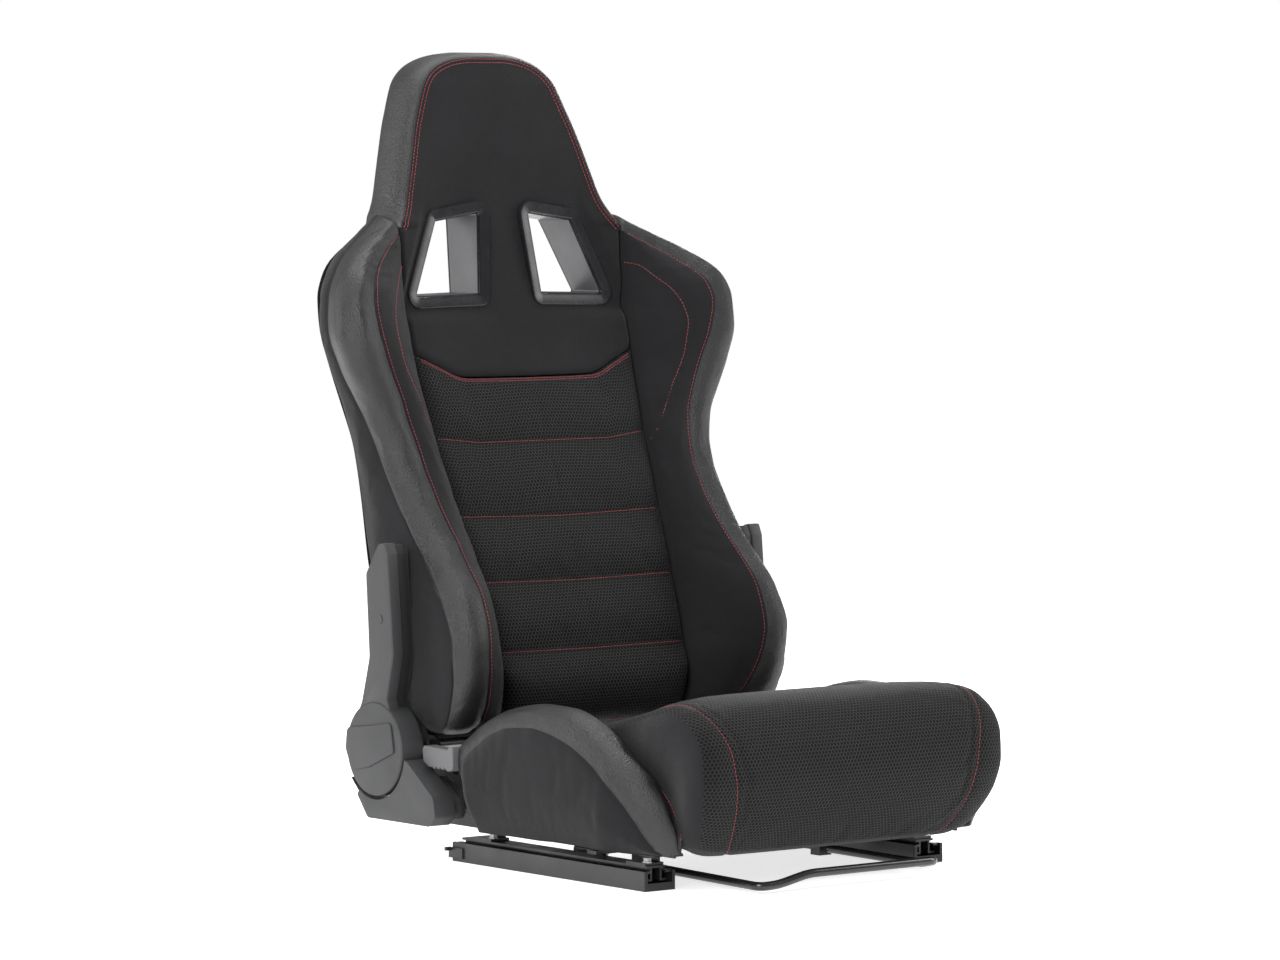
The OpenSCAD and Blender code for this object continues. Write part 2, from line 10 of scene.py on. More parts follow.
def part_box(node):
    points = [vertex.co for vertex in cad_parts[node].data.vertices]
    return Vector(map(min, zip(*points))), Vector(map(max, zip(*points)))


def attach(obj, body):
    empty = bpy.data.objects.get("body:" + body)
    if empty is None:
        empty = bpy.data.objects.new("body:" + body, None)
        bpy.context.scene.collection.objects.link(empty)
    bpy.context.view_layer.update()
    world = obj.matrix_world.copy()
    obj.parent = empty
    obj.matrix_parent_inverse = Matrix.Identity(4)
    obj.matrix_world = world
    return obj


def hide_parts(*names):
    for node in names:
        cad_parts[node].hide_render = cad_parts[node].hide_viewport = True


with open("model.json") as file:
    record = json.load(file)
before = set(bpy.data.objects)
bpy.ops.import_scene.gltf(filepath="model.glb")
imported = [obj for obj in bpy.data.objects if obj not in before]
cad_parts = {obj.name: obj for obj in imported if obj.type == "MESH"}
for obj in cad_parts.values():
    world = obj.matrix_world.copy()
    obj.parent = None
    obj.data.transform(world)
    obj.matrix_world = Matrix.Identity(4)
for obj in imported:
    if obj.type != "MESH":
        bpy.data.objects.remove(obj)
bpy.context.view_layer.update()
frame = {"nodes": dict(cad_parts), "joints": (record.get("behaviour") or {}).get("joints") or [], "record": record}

# ---------------------------------------------------------------------------
# The room: a pale floor under soft studio light, seen from the seat's front
# right corner at about cushion height.

CAMERA_AZIMUTH, CAMERA_ELEVATION = math.radians(-38.36), math.radians(3.35)
camera = bpy.data.objects.new("camera", bpy.data.cameras.new("camera"))
bpy.context.scene.collection.objects.link(camera)
camera.data.lens, camera.data.sensor_width = 162, 36
camera.data.clip_start, camera.data.clip_end = 0.1, 60
camera.location = (-4.121, -5.101, 0.821)
camera.rotation_mode = "QUATERNION"
camera.rotation_quaternion = Vector((
    -math.sin(CAMERA_AZIMUTH) * math.cos(CAMERA_ELEVATION),
    math.cos(CAMERA_AZIMUTH) * math.cos(CAMERA_ELEVATION),
    -math.sin(CAMERA_ELEVATION))).to_track_quat("-Z", "Y")
bpy.context.scene.camera = camera
bpy.context.scene.view_settings.view_transform = "Standard"

world = bpy.data.worlds.new("room_light")
bpy.context.scene.world = world
world.use_nodes = True
tree = world.node_tree
room = tree.nodes["Background"]
room.inputs["Color"].default_value = (1, 1, 1, 1)
seen = tree.nodes.new("ShaderNodeLightPath")
bright = tree.nodes.new("ShaderNodeMapRange")
bright.inputs["To Min"].default_value, bright.inputs["To Max"].default_value = 0.32, 1.0
tree.links.new(seen.outputs["Is Camera Ray"], bright.inputs["Value"])
tree.links.new(bright.outputs["Result"], room.inputs["Strength"])

# name, place, aimed at, width, height, power
SOFT_BOXES = [
    ("light_left", (-2.6, -1.6, 1.9), (0, 0.1, 0.5), 1.6, 2.2, 84),
    ("light_right", (2.9, -1.2, 1.7), (0, 0.1, 0.5), 1.4, 2.2, 42),
    ("light_top", (0.0, 0.6, 3.0), (0, 0.2, 0.3), 2.4, 2.0, 66),
    ("light_back_left", (-2.2, 2.4, 1.6), (0, 0.3, 0.6), 0.8, 2.0, 40),
    ("light_back_right", (2.4, 2.2, 1.6), (0, 0.3, 0.6), 0.8, 2.0, 36),
]
for name, place, aim, width, height, power in SOFT_BOXES:
    light = bpy.data.lights.new(name, "AREA")
    light.shape, light.size, light.size_y, light.energy = "RECTANGLE", width, height, power
    lamp = bpy.data.objects.new(name, light)
    lamp.location = place
    lamp.rotation_euler = (Vector(aim) - Vector(place)).to_track_quat("-Z", "Y").to_euler()
    bpy.context.scene.collection.objects.link(lamp)


def pick(name, kind, links, values):
    """A node of a material tree, with its inputs linked or set."""
    tree, node = pick.tree, pick.tree.nodes.new(kind)
    node.name = name
    for key, value in values.items():
        if isinstance(key, int) or key in node.inputs:
            node.inputs[key].default_value = value
        else:
            setattr(node, key, value)
    for key, source in links.items():
        tree.links.new(source, node.inputs[key])
    return node


def finish_of(name, base, roughness, **settings):
    """A new material with its Principled BSDF; the plain settings go straight on its sockets."""
    material = bpy.data.materials.new(name)
    material.use_nodes = True
    pick.tree = material.node_tree
    shader = material.node_tree.nodes["Principled BSDF"]
    shader.inputs["Base Color"].default_value = (*base, 1)
    shader.inputs["Roughness"].default_value = roughness
    for key, value in settings.items():
        shader.inputs[key.replace("_", " ").title().replace("Ior", "IOR")].default_value = value
    return material, shader


floor_paint, shader = finish_of("floor_paint", (0.9, 0.9, 0.9), 0.6, emission_strength=0.74,
                                specular_ior_level=0.2)
shader.inputs["Emission Color"].default_value = (1, 1, 1, 1)
place = pick("place", "ShaderNodeTexCoord", {}, {})
cloud = pick("cloud", "ShaderNodeTexNoise", {"Vector": place.outputs["Object"]}, {"Scale": 3.0})
even = pick("even", "ShaderNodeMapRange", {"Value": cloud.outputs["Fac"]},
            {"To Min": 0.5, "To Max": 0.62})
pick.tree.links.new(even.outputs["Result"], shader.inputs["Roughness"])
bpy.ops.object.select_all(action="DESELECT")
bpy.ops.mesh.primitive_plane_add(size=30)
floor = bpy.context.object
floor.name = "floor"
floor.data.materials.append(floor_paint)

# ---------------------------------------------------------------------------
# Centre of the back: a pad of black spacer mesh over foam, sewn across into five
# channels with red thread and tucked under at its foot. It is stretched over the
# back frame between the two side wings.

MM = 0.001


def smooth(table, at):
    """Values on a smooth curve through the rows of a table, whose first column rises."""
    t = np.array(table, float)
    x, y = t[:, 0], t[:, 1:]
    h = np.diff(x)[:, None]
    d = np.diff(y, axis=0) / h
    same = d[:-1] * d[1:] > 0
    before, after = np.where(same, d[:-1], 1), np.where(same, d[1:], 1)
    w1, w2 = 2 * h[1:] + h[:-1], h[1:] + 2 * h[:-1]
    m = np.vstack([d[:1], np.where(same, (w1 + w2) / (w1 / before + w2 / after), 0), d[-1:]])
    at = np.clip(np.asarray(at, float), x[0], x[-1])
    i = np.clip(np.searchsorted(x, at, side="right") - 1, 0, len(x) - 2)
    s = ((at - x[i]) / h[i, 0])[..., None]
    value = (y[i] * (1 + 2 * s) * (1 - s) ** 2 + m[i] * h[i] * s * (1 - s) ** 2
             + y[i + 1] * s * s * (3 - 2 * s) + m[i + 1] * h[i] * s * s * (s - 1))
    return value[..., 0] if value.shape[-1] == 1 else value


def tight(n):
    """n + 1 fractions from 0 to 1 that crowd together at both ends."""
    return 0.5 - 0.5 * np.cos(np.pi * np.arange(n + 1) / n)


def facing(front):
    """Outward normals of a front sheet of points, by its own lattice."""
    normal = np.cross(np.gradient(front, axis=0), np.gradient(front, axis=1))
    return normal / np.maximum(np.linalg.norm(normal, axis=-1, keepdims=True), 1e-12)


def run(points, axis):
    """Distance along a lattice of points, from its first row or column."""
    step = np.linalg.norm(np.diff(points, axis=axis), axis=-1)
    pad = [(0, 0)] * step.ndim
    pad[axis] = (1, 0)
    return np.pad(np.cumsum(step, axis=axis), pad)


def upholster(name, front, rear, depths, materials, paint, swell=None, cloth=None, ends=None,
              top=None):
    """A closed padded skin: a front and a rear sheet of points joined round their edges.
    paint gives a material number for each cell of the front; swell moves the edge strips out;
    ends and top give the numbers of the two end strips and of the top strip."""
    w = np.asarray(depths, float)
    lattice = front[:, :, None] * (1 - w)[:, None] + rear[:, :, None] * w[:, None]
    if swell is not None:
        lattice = lattice + swell
    nu, nv, nw = lattice.shape[:3]
    outer = np.zeros((nu, nv, nw), bool)
    outer[[0, -1]] = outer[:, [0, -1]] = outer[:, :, [0, -1]] = True
    number = np.full((nu, nv, nw), -1)
    number[outer] = np.arange(outer.sum())
    if cloth is None:
        cloth = np.stack([run(front, 0), run(front, 1)], -1)
    first, last = (paint[0], paint[-1]) if ends is None else (ends, ends)
    upper = paint[:, -1:] if top is None else 0 * paint[:, -1:] + top
    sheets = [(number[:, :, 0], False, paint), (number[:, :, -1], True, 0 * paint),
              (number[:, 0], True, paint[:, :1]), (number[:, -1], False, upper),
              (number[0], False, first[:, None]), (number[-1], True, last[:, None])]
    faces, tones = [], []
    for ids, turned, tone in sheets:
        quads = np.stack([ids[:-1, :-1], ids[1:, :-1], ids[1:, 1:], ids[:-1, 1:]], -1)
        tones.append(np.broadcast_to(tone, quads.shape[:2]).reshape(-1))
        quads = quads.reshape(-1, 4)
        faces.append(quads[:, ::-1] if turned else quads)
    faces = np.concatenate(faces)
    mesh = bpy.data.meshes.new(name)
    mesh.from_pydata((lattice[outer] * MM).tolist(), [], faces.tolist())
    for material in materials:
        mesh.materials.append(material)
    mesh.polygons.foreach_set("material_index", np.concatenate(tones).astype(np.int32))
    mesh.polygons.foreach_set("use_smooth", np.ones(len(faces), bool))
    deep = np.stack([np.broadcast_to(w * 60, lattice.shape[:3]), np.zeros(lattice.shape[:3])], -1)
    spread = (cloth[:, :, None] + deep)[outer] * MM
    layer = mesh.uv_layers.new(name="cloth")
    corner = np.zeros(len(mesh.loops), np.int32)
    mesh.loops.foreach_get("vertex_index", corner)
    layer.data.foreach_set("uv", spread[corner].astype(np.float32).ravel())
    piece = bpy.data.objects.new(name, mesh)
    bpy.context.scene.collection.objects.link(piece)
    mesh.update()
    return piece


# the front face of the back's middle, by height: place behind the origin, and
# how much nearer its edges stand than its middle
BACK_FACE = [(136, 208), (150, 197), (200, 184), (232, 195), (310, 225), (400, 261), (500, 300),
             (600, 339), (640, 353), (700, 366), (760, 376), (820, 387), (880, 397), (930, 406)]
EDGE_FORWARD = [(136, 0), (300, -1), (400, -3), (470, -4), (540, 0), (574, 5), (620, 9), (650, 13),
                (678, 15), (700, 18), (722, 20), (744, 12), (778, 9), (818, 7), (855, 5), (930, 1)]
PANEL_HALF = [(136, 133), (150, 134), (574, 162), (725, 163)]


def back_face(x, z, half):
    """Depth of the back's front face across and up the seat."""
    return smooth(BACK_FACE, z) - smooth(EDGE_FORWARD, z) * np.clip(np.abs(x) / half, 0, 1) ** 2


def chevron(x):
    """Height of the pad's top seam: level in the middle, rising to its corners."""
    return smooth([(0, 545), (92, 546), (103, 548), (130, 560), (162, 575)], np.abs(x))


# heights of the sewn channels at the middle and at the pad's edge
CHANNELS = [(143, 143), (232, 233), (310, 312), (384, 387), (471, 477)]


def channel_seam(k, x):
    """Height of a cross seam at a distance from the middle."""
    middle, edge = CHANNELS[k]
    bow = smooth([(0, 0), (90, 0), (118, 0.45), (150, 1)], np.abs(x)) if k == 4 else np.abs(x) / 150
    return middle + (edge - middle) * bow


# materials of the soft parts

def knit_and_grain():
    """Two surface effects for cloth and hide: a drifting tone, and fine relief."""
    tone = bpy.data.node_groups.new("cloth_tone", "ShaderNodeTree")
    for name, kind in (("Vector", "NodeSocketVector"), ("Scale", "NodeSocketFloat"),
                       ("Dark", "NodeSocketColor"), ("Light", "NodeSocketColor")):
        tone.interface.new_socket(name, in_out="INPUT", socket_type=kind)
    tone.interface.new_socket("Color", in_out="OUTPUT", socket_type="NodeSocketColor")
    pick.tree = tone
    given, made = tone.nodes.new("NodeGroupInput"), tone.nodes.new("NodeGroupOutput")
    drift = pick("drift", "ShaderNodeTexNoise", {"Vector": given.outputs["Vector"],
                 "Scale": given.outputs["Scale"]}, {"Detail": 4.0, "Roughness": 0.6})
    sharpen = pick("sharpen", "ShaderNodeMapRange", {"Value": drift.outputs["Fac"]},
                   {"From Min": 0.3, "From Max": 0.7})
    mix = pick("mix", "ShaderNodeMix", {}, {"data_type": "RGBA"})
    tone.links.new(sharpen.outputs["Result"], mix.inputs[0])
    tone.links.new(given.outputs["Dark"], mix.inputs[6])
    tone.links.new(given.outputs["Light"], mix.inputs[7])
    tone.links.new(mix.outputs[2], made.inputs["Color"])
    relief = bpy.data.node_groups.new("fine_relief", "ShaderNodeTree")
    for name, kind in (("Vector", "NodeSocketVector"), ("Scale", "NodeSocketFloat"),
                       ("Cells", "NodeSocketFloat")):
        relief.interface.new_socket(name, in_out="INPUT", socket_type=kind)
    relief.interface.new_socket("Height", in_out="OUTPUT", socket_type="NodeSocketFloat")
    pick.tree = relief
    given, made = relief.nodes.new("NodeGroupInput"), relief.nodes.new("NodeGroupOutput")
    cells = pick("cells", "ShaderNodeTexVoronoi", {"Vector": given.outputs["Vector"],
                 "Scale": given.outputs["Cells"]}, {"feature": "SMOOTH_F1", "Smoothness": 0.4})
    fuzz = pick("fuzz", "ShaderNodeTexNoise", {"Vector": given.outputs["Vector"],
                "Scale": given.outputs["Scale"]}, {"Detail": 3.0})
    both = pick("both", "ShaderNodeMath", {0: cells.outputs["Distance"], 1: fuzz.outputs["Fac"]},
                {"operation": "ADD"})
    relief.links.new(both.outputs[0], made.inputs["Height"])
    return tone, relief


CLOTH_TONE, FINE_RELIEF = knit_and_grain()


def dress(material, shader, scale, dark, light, relief, cells, strength, reach, rough=None):
    """Gives a material its drifting tone, its fine relief and, where asked, uneven gloss."""
    pick.tree = material.node_tree
    place = pick("place", "ShaderNodeTexCoord", {}, {})
    tone = pick("tone", "ShaderNodeGroup", {}, {"node_tree": CLOTH_TONE})
    fine = pick("fine", "ShaderNodeGroup", {}, {"node_tree": FINE_RELIEF})
    for node, values in ((tone, {"Scale": scale, "Dark": (*dark, 1), "Light": (*light, 1)}),
                         (fine, {"Scale": relief, "Cells": cells})):
        pick.tree.links.new(place.outputs["Object"], node.inputs["Vector"])
        for key, value in values.items():
            node.inputs[key].default_value = value
    pick.tree.links.new(tone.outputs["Color"], shader.inputs["Base Color"])
    bump = pick("bump", "ShaderNodeBump", {"Height": fine.outputs["Height"]},
                {"Strength": strength, "Distance": reach})
    pick.tree.links.new(bump.outputs["Normal"], shader.inputs["Normal"])
    if rough:
        blotch = pick("blotch", "ShaderNodeTexNoise", {"Vector": place.outputs["Object"]},
                      {"Scale": scale * 2.3, "Detail": 5.0})
        gloss = pick("gloss", "ShaderNodeMapRange", {"Value": blotch.outputs["Fac"]},
                     {"From Min": 0.3, "From Max": 0.7, "To Min": rough[0], "To Max": rough[1]})
        pick.tree.links.new(gloss.outputs["Result"], shader.inputs["Roughness"])
    return bump, tone


knit, shader = finish_of("knit_fabric", (0.009, 0.009, 0.01), 0.85, specular_ior_level=0.15,
                         sheen_weight=0.1, sheen_roughness=0.4)
dress(knit, shader, 7, (0.0105, 0.0105, 0.0115), (0.0155, 0.0155, 0.017), 900, 1300, 0.5, 0.0009)

leather, shader = finish_of("leather", (0.012, 0.012, 0.013), 0.45, specular_ior_level=0.5)
dress(leather, shader, 9, (0.010, 0.0102, 0.0112), (0.0145, 0.0148, 0.016), 260, 620, 0.55, 0.0010,
      rough=(0.40, 0.52))


def spacer_mesh(name, pitch, yarn, gap):
    """Black spacer mesh: rows of small staggered holes, so that the yarn between is lighter."""
    material, shader = finish_of(name, yarn, 0.7, specular_ior_level=0.2,
                                 sheen_weight=0.05, sheen_roughness=0.4)
    tree = pick.tree
    weave = pick("weave", "ShaderNodeUVMap", {}, {"uv_map": "cloth"})
    size = pick("size", "ShaderNodeVectorMath", {0: weave.outputs["UV"]},
                {"operation": "MULTIPLY", 1: (1 / pitch, 1 / (pitch * 1.732), 0)})
    reach = []
    for k, shift in enumerate(((0, 0, 0), (0.5, 0.5, 0))):
        moved = pick(f"moved{k}", "ShaderNodeVectorMath", {0: size.outputs[0]},
                     {"operation": "ADD", 1: shift})
        cell = pick(f"cell{k}", "ShaderNodeVectorMath", {0: moved.outputs[0]},
                    {"operation": "FRACTION"})
        centred = pick(f"centred{k}", "ShaderNodeVectorMath", {0: cell.outputs[0]},
                       {"operation": "SUBTRACT", 1: (0.5, 0.5, 0)})
        true_size = pick(f"true{k}", "ShaderNodeVectorMath", {0: centred.outputs[0]},
                         {"operation": "MULTIPLY", 1: (1.0, 1.732, 0)})
        reach.append(pick(f"reach{k}", "ShaderNodeVectorMath", {0: true_size.outputs[0]},
                          {"operation": "LENGTH"}))
    nearest = pick("nearest", "ShaderNodeMath", {0: reach[0].outputs["Value"],
                   1: reach[1].outputs["Value"]}, {"operation": "MINIMUM"})
    rim = pick("rim", "ShaderNodeMapRange", {"Value": nearest.outputs[0]},
               {"From Min": 0.34, "From Max": 0.50, "interpolation_type": "SMOOTHSTEP"})
    place = pick("place", "ShaderNodeTexCoord", {}, {})
    drift = pick("drift", "ShaderNodeTexNoise", {"Vector": place.outputs["Object"]},
                 {"Scale": 14.0, "Detail": 4.0})
    lively = pick("lively", "ShaderNodeMapRange", {"Value": drift.outputs["Fac"]},
                  {"From Min": 0.3, "From Max": 0.7, "To Min": 0.8, "To Max": 1.0})
    amount = pick("amount", "ShaderNodeMath", {0: rim.outputs["Result"],
                  1: lively.outputs["Result"]}, {"operation": "MULTIPLY"})
    colour = pick("colour", "ShaderNodeMix", {}, {"data_type": "RGBA"})
    colour.inputs[6].default_value, colour.inputs[7].default_value = (*gap, 1), (*yarn, 1)
    tree.links.new(amount.outputs[0], colour.inputs[0])
    tree.links.new(colour.outputs[2], shader.inputs["Base Color"])
    bump = pick("bump", "ShaderNodeBump", {"Height": rim.outputs["Result"]},
                {"Strength": 0.8, "Distance": 0.0012})
    tree.links.new(bump.outputs["Normal"], shader.inputs["Normal"])
    return material


air_mesh = spacer_mesh("air_mesh", 0.0047, (0.024, 0.024, 0.0265), (0.0003, 0.0003, 0.0004))

rows = 110
across = np.concatenate([-tight(44)[:0:-1], tight(44)])
up = np.linspace(0, 1, rows + 1)
U, V = np.meshgrid(across, up, indexing="ij")
foot = 137.0
half = smooth(PANEL_HALF, foot + (574 - foot) * V) - 0.6
X = U * half
Z = foot + (chevron(X) - 1.0 - foot) * V
Y = back_face(X, Z, half)
# the foam stands up between its seams
tops = [channel_seam(k, X) for k in range(5)] + [chevron(X)]
swollen = np.zeros_like(Z)
for low, high in zip([np.full_like(Z, 120)] + tops[:-1], tops):
    inside = (Z >= low) & (Z <= high)
    t = np.clip((Z - low) / (high - low), 0, 1)
    swollen = np.where(inside, np.sin(np.pi * t ** 0.85) ** 0.55, swollen)
side_tuck = 1 - np.abs(U) ** 14
Y = Y - 8.0 * swollen * side_tuck + 5.0 * (np.abs(U) ** 30)
curl = np.clip((158 - Z) / 21, 0, 1)
Y = Y + 16 * curl ** 2
front = np.stack([X, Y, Z], -1)
rear = np.stack([X * 0.985, np.maximum(smooth(BACK_FACE, Z) + 24, 0), Z], -1)
rear[..., 1] = np.maximum(rear[..., 1], front[..., 1] + 8)
rear[..., 2] = np.clip(Z, 140, None)
SOFT = []    # pieces whose cover the foam presses out: where it is free of seams, and layers
back_pad = upholster("back_pad_mesh", front, rear, [0, 0.15, 0.5, 1], [air_mesh],
                     np.zeros((len(across) - 1, rows), int))
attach(back_pad, "back")
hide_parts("back_pad")
SOFT.append((back_pad, (swollen > 0.45) & (np.abs(U) < 0.97) & (Z > 150), 4))

thread, shader = finish_of("red_thread", (0.30, 0.012, 0.02), 0.6, sheen_weight=0.3)
dress(thread, shader, 120, (0.19, 0.008, 0.013), (0.31, 0.014, 0.023), 1500, 2500, 0.3, 0.0003)


def even_steps(line, pitch):
    """Points a set pitch apart along a line of points, and their place along it."""
    line = np.asarray(line, float)
    length = np.concatenate([[0], np.cumsum(np.linalg.norm(np.diff(line[:, :3], axis=0), axis=1))])
    at = np.arange(pitch / 2, length[-1], pitch)
    return np.stack([np.interp(at, length, line[:, k]) for k in range(line.shape[1])], -1)


def sew(name, lines, body, pitch=4.4, length=3.3, thick=0.48, lift=0.3):
    """A row of stitches along each line of (point, outward normal), all in one piece."""
    around = [(math.cos(a), math.sin(a)) for a in np.arange(6) * math.pi / 3]
    points, faces = [], []
    for line in lines:
        steps = even_steps(line, pitch)
        centre, normal = steps[:, :3], steps[:, 3:]
        normal = normal / np.linalg.norm(normal, axis=1, keepdims=True)
        along = np.gradient(centre, axis=0)
        along = along / np.linalg.norm(along, axis=1, keepdims=True)
        beside = np.cross(along, normal)
        for c, n, t, b in zip(centre, normal, along, beside):
            first = len(points)
            for place, size, rise in ((-0.5, 0.25, -0.5), (-0.3, 0.9, 0.1), (0, 1, 0.35),
                                      (0.3, 0.9, 0.1), (0.5, 0.25, -0.5)):
                for p, q in around:
                    points.append((c + t * length * place + n * (lift + rise * thick * 0.6
                                   + q * thick * size) + b * p * thick * size) * MM)
            for k in range(4):
                for m in range(6):
                    faces.append((first + k * 6 + m, first + k * 6 + (m + 1) % 6,
                                  first + k * 6 + 6 + (m + 1) % 6, first + k * 6 + 6 + m))
            faces.append(tuple(first + m for m in range(5, -1, -1)))
            faces.append(tuple(first + 24 + m for m in range(6)))
    mesh = bpy.data.meshes.new(name)
    mesh.from_pydata([tuple(p) for p in points], [], faces)
    mesh.materials.append(thread)
    mesh.polygons.foreach_set("use_smooth", np.ones(len(faces), bool))
    piece = bpy.data.objects.new(name, mesh)
    bpy.context.scene.collection.objects.link(piece)
    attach(piece, body)
    return piece


def laid_on(sheet, lines):
    """Lines of rough points brought onto a sheet of points, each with the sheet's normal there."""
    flat, normals = sheet.reshape(-1, 3), facing(sheet).reshape(-1, 3)
    tree = KDTree(len(flat))
    for i, p in enumerate(flat):
        tree.insert(p, i)
    tree.balance()
    found = []
    for line in lines:
        out = []
        for p in even_steps(line, 3.0):
            close = tree.find_n(p, 6)
            weight = np.array([1 / (d + 0.3) ** 2 for _, _, d in close])
            ids = [i for _, i, _ in close]
            weight = weight / weight.sum()
            n = (normals[ids] * weight[:, None]).sum(0)
            n = n / np.linalg.norm(n)
            base = (flat[ids] * weight[:, None]).sum(0)
            # slide the rough point along the normal until it meets the sheet
            out.append(np.concatenate([p + n * ((base - p) @ n), n]))
        found.append(np.array(out))
    return found


def lattice_line(sheet, i=None, j=None, part=slice(None)):
    """One column or row of a sheet, with its normals."""
    n = facing(sheet)
    pair = (sheet[i], n[i]) if i is not None else (sheet[:, j], n[:, j])
    return np.concatenate([pair[0][part], pair[1][part]], -1)


seams = []
for k in range(5):
    xs = np.linspace(-1, 1, 60)
    z = channel_seam(k, xs * 150)
    x = xs * (smooth(PANEL_HALF, z) - 6)
    seams.append(np.stack([x, back_face(x, z, 150) - 1, z], -1))
xs = np.linspace(-156, 156, 80)
for offset in (-2.4, -5.2):
    z = chevron(xs) + offset
    seams.append(np.stack([xs, back_face(xs, z, 160) - 1, z], -1))
sew("stitching_back_pad", laid_on(front, seams), "back", pitch=3.4, length=2.7)

# ---------------------------------------------------------------------------
# Head rest and upper middle: knit fabric over moulded foam, with a leather band
# sewn round its edge by two rows of red stitches. Two slots go through it.

# outline of the stitched edge, by height: half width and depth
HEAD_EDGE = [(722, 162, 349), (730, 156, 354), (744, 147, 361), (760, 140.5, 367), (778, 135, 371),
             (818, 123, 380), (840, 116, 385.5), (855, 110, 389), (875, 102, 393), (890, 95, 396),
             (902, 85, 400), (910, 74, 402), (916, 60, 403.5), (920, 44, 404.5), (922, 26, 405)]
REAR_FACE = [(136, 278), (165, 288), (330, 333), (415, 348), (468, 360), (530, 381), (600, 401),
             (700, 424), (824, 448), (900, 463), (930, 467)]
# outer corners of a frame across and up, on the left side, and their radii
SLOT = [(21, 755), (110, 742), (160, 626), (33, 629)]
SLOT_RADII = [17, 13, 17, 14]


def in_front(x, z):
    """Depth of the frames' plane on the front, which lies along the padding."""
    return 352.5 + (np.asarray(z) - 630) * 0.155 + np.abs(x) * 0.012


heights = np.concatenate([575 + (722 - 575) * tight(44)[1:],
                          smooth([(0, 722), (6, 775), (14, 850), (20, 890), (26, 909), (30, 916),
                                  (34, 920), (37, 922)], np.arange(1, 38))])
heights = np.concatenate([[574.5], heights])
rows = len(heights)
across = np.linspace(-1, 1, 141)
across = np.sign(across) * (1 - (1 - np.abs(across)) ** 1.25)
half = np.where(heights < 722, smooth(PANEL_HALF, heights) + 0.2, smooth(HEAD_EDGE, heights)[:, 0])
edge_depth = smooth(HEAD_EDGE, heights)[:, 1]
X = across[:, None] * half[None, :]
Zrow = np.broadcast_to(heights[None, :], X.shape)
# the lowest rows follow the chevron seam
low = chevron(X) + 1.0
rise = np.clip((Zrow - 574.5) / (650 - 574.5), 0, 1)
Z = low + (650 - low) * rise
Z = np.where(Zrow > 650, Zrow, Z)
wide = np.broadcast_to(half[None, :], X.shape)
middle = smooth(BACK_FACE, Z)
side = np.abs(X) / wide
lower = middle - smooth(EDGE_FORWARD, Z) * side ** 2.2
upper = middle + (edge_depth[None, :] - middle) * side ** 2.4
Y = np.where(Zrow < 722, lower, upper)
# foam crown of the head, flat by the slots
crown = 5.0 * np.clip((Z - 760) / 60, 0, 1) * (1 - side ** 2) * np.clip((925 - Z) / 40, 0, 1) ** 0.5
Y = Y - crown
# padding sinks round the slots' frames and beside the wings
low_edge = np.clip(1 - (Z - low) / 9, 0, 1)
Y = Y + 3.5 * low_edge ** 2
tuck = np.where(Zrow < 716, np.clip(1 - (wide - np.abs(X)) / 7, 0, 1), 0)
Y = Y + 5.0 * tuck ** 2
corners = np.array(SLOT, float)
sides = np.roll(corners, -1, 0) - corners
outward = np.stack([-sides[:, 1], sides[:, 0]], -1) / np.linalg.norm(sides, axis=1)[:, None]
beyond = np.max([(np.abs(X) - c[0]) * n[0] + (Z - c[1]) * n[1] for c, n in zip(corners, outward)], 0)
near = np.clip(1 - beyond / 15, 0, 1)
near = near * near * (3 - 2 * near)
Y = Y + near * np.maximum(in_front(X, Z) - 3 - Y, 0)
front = np.stack([X, Y, Z], -1)
rear = np.stack([X * 0.98, smooth(REAR_FACE, Z) - 5, Z], -1)
rear[:, heights < 722, 1] = (smooth(BACK_FACE, Z) + 29)[:, heights < 722]

# the leather band swells outwards all round the head, from the stitched edge to the rear
loop = np.concatenate([
    [(0, j) for j in range(rows)], [(i, rows - 1) for i in range(1, len(across) - 1)],
    [(len(across) - 1, j) for j in range(rows - 1, -1, -1)]])
edge_points = front[loop[:, 0], loop[:, 1]][:, [0, 2]]
along = np.gradient(edge_points, axis=0)
out = np.stack([-along[:, 1], along[:, 0]], -1)
for _ in range(4):
    out[1:-1] = (out[:-2] + 2 * out[1:-1] + out[2:]) / 4
out = out / np.linalg.norm(out, axis=1, keepdims=True)
depths = np.array([0, 0.03, 0.07, 0.13, 0.22, 0.34, 0.48, 0.64, 0.8, 0.92, 1])
fullness = smooth([(0, 0), (0.03, 3.5), (0.07, 6), (0.22, 11), (0.5, 13), (0.85, 11.5), (1, 8)], depths)
swell = np.zeros((len(across), rows, len(depths), 3))
above = np.clip((edge_points[:, 1] - 716) / 16, 0, 1)
for (i, j), way, share in zip(loop, out, above):
    share = share * (1 - 0.5 * max(way[1], 0) ** 2)
    swell[i, j, :, 0], swell[i, j, :, 2] = way[0] * fullness * share, way[1] * fullness * share
paint = np.zeros((len(across) - 1, rows - 1), int)
band = np.where((heights[:-1] + heights[1:]) / 2 > 722, 1, 0)
head_pad = upholster("head_rest", front, rear, depths, [knit, leather], paint, swell=swell,
                     ends=band, top=1)
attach(head_pad, "back")
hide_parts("head_pad")

edge_line = np.concatenate([
    np.stack([-half, edge_depth, heights], -1)[heights >= 722],
    np.stack([across * half[-1], np.full_like(across, edge_depth[-1]),
              np.full_like(across, heights[-1])], -1)[1:-1],
    np.stack([half, edge_depth, heights], -1)[heights >= 722][::-1]])


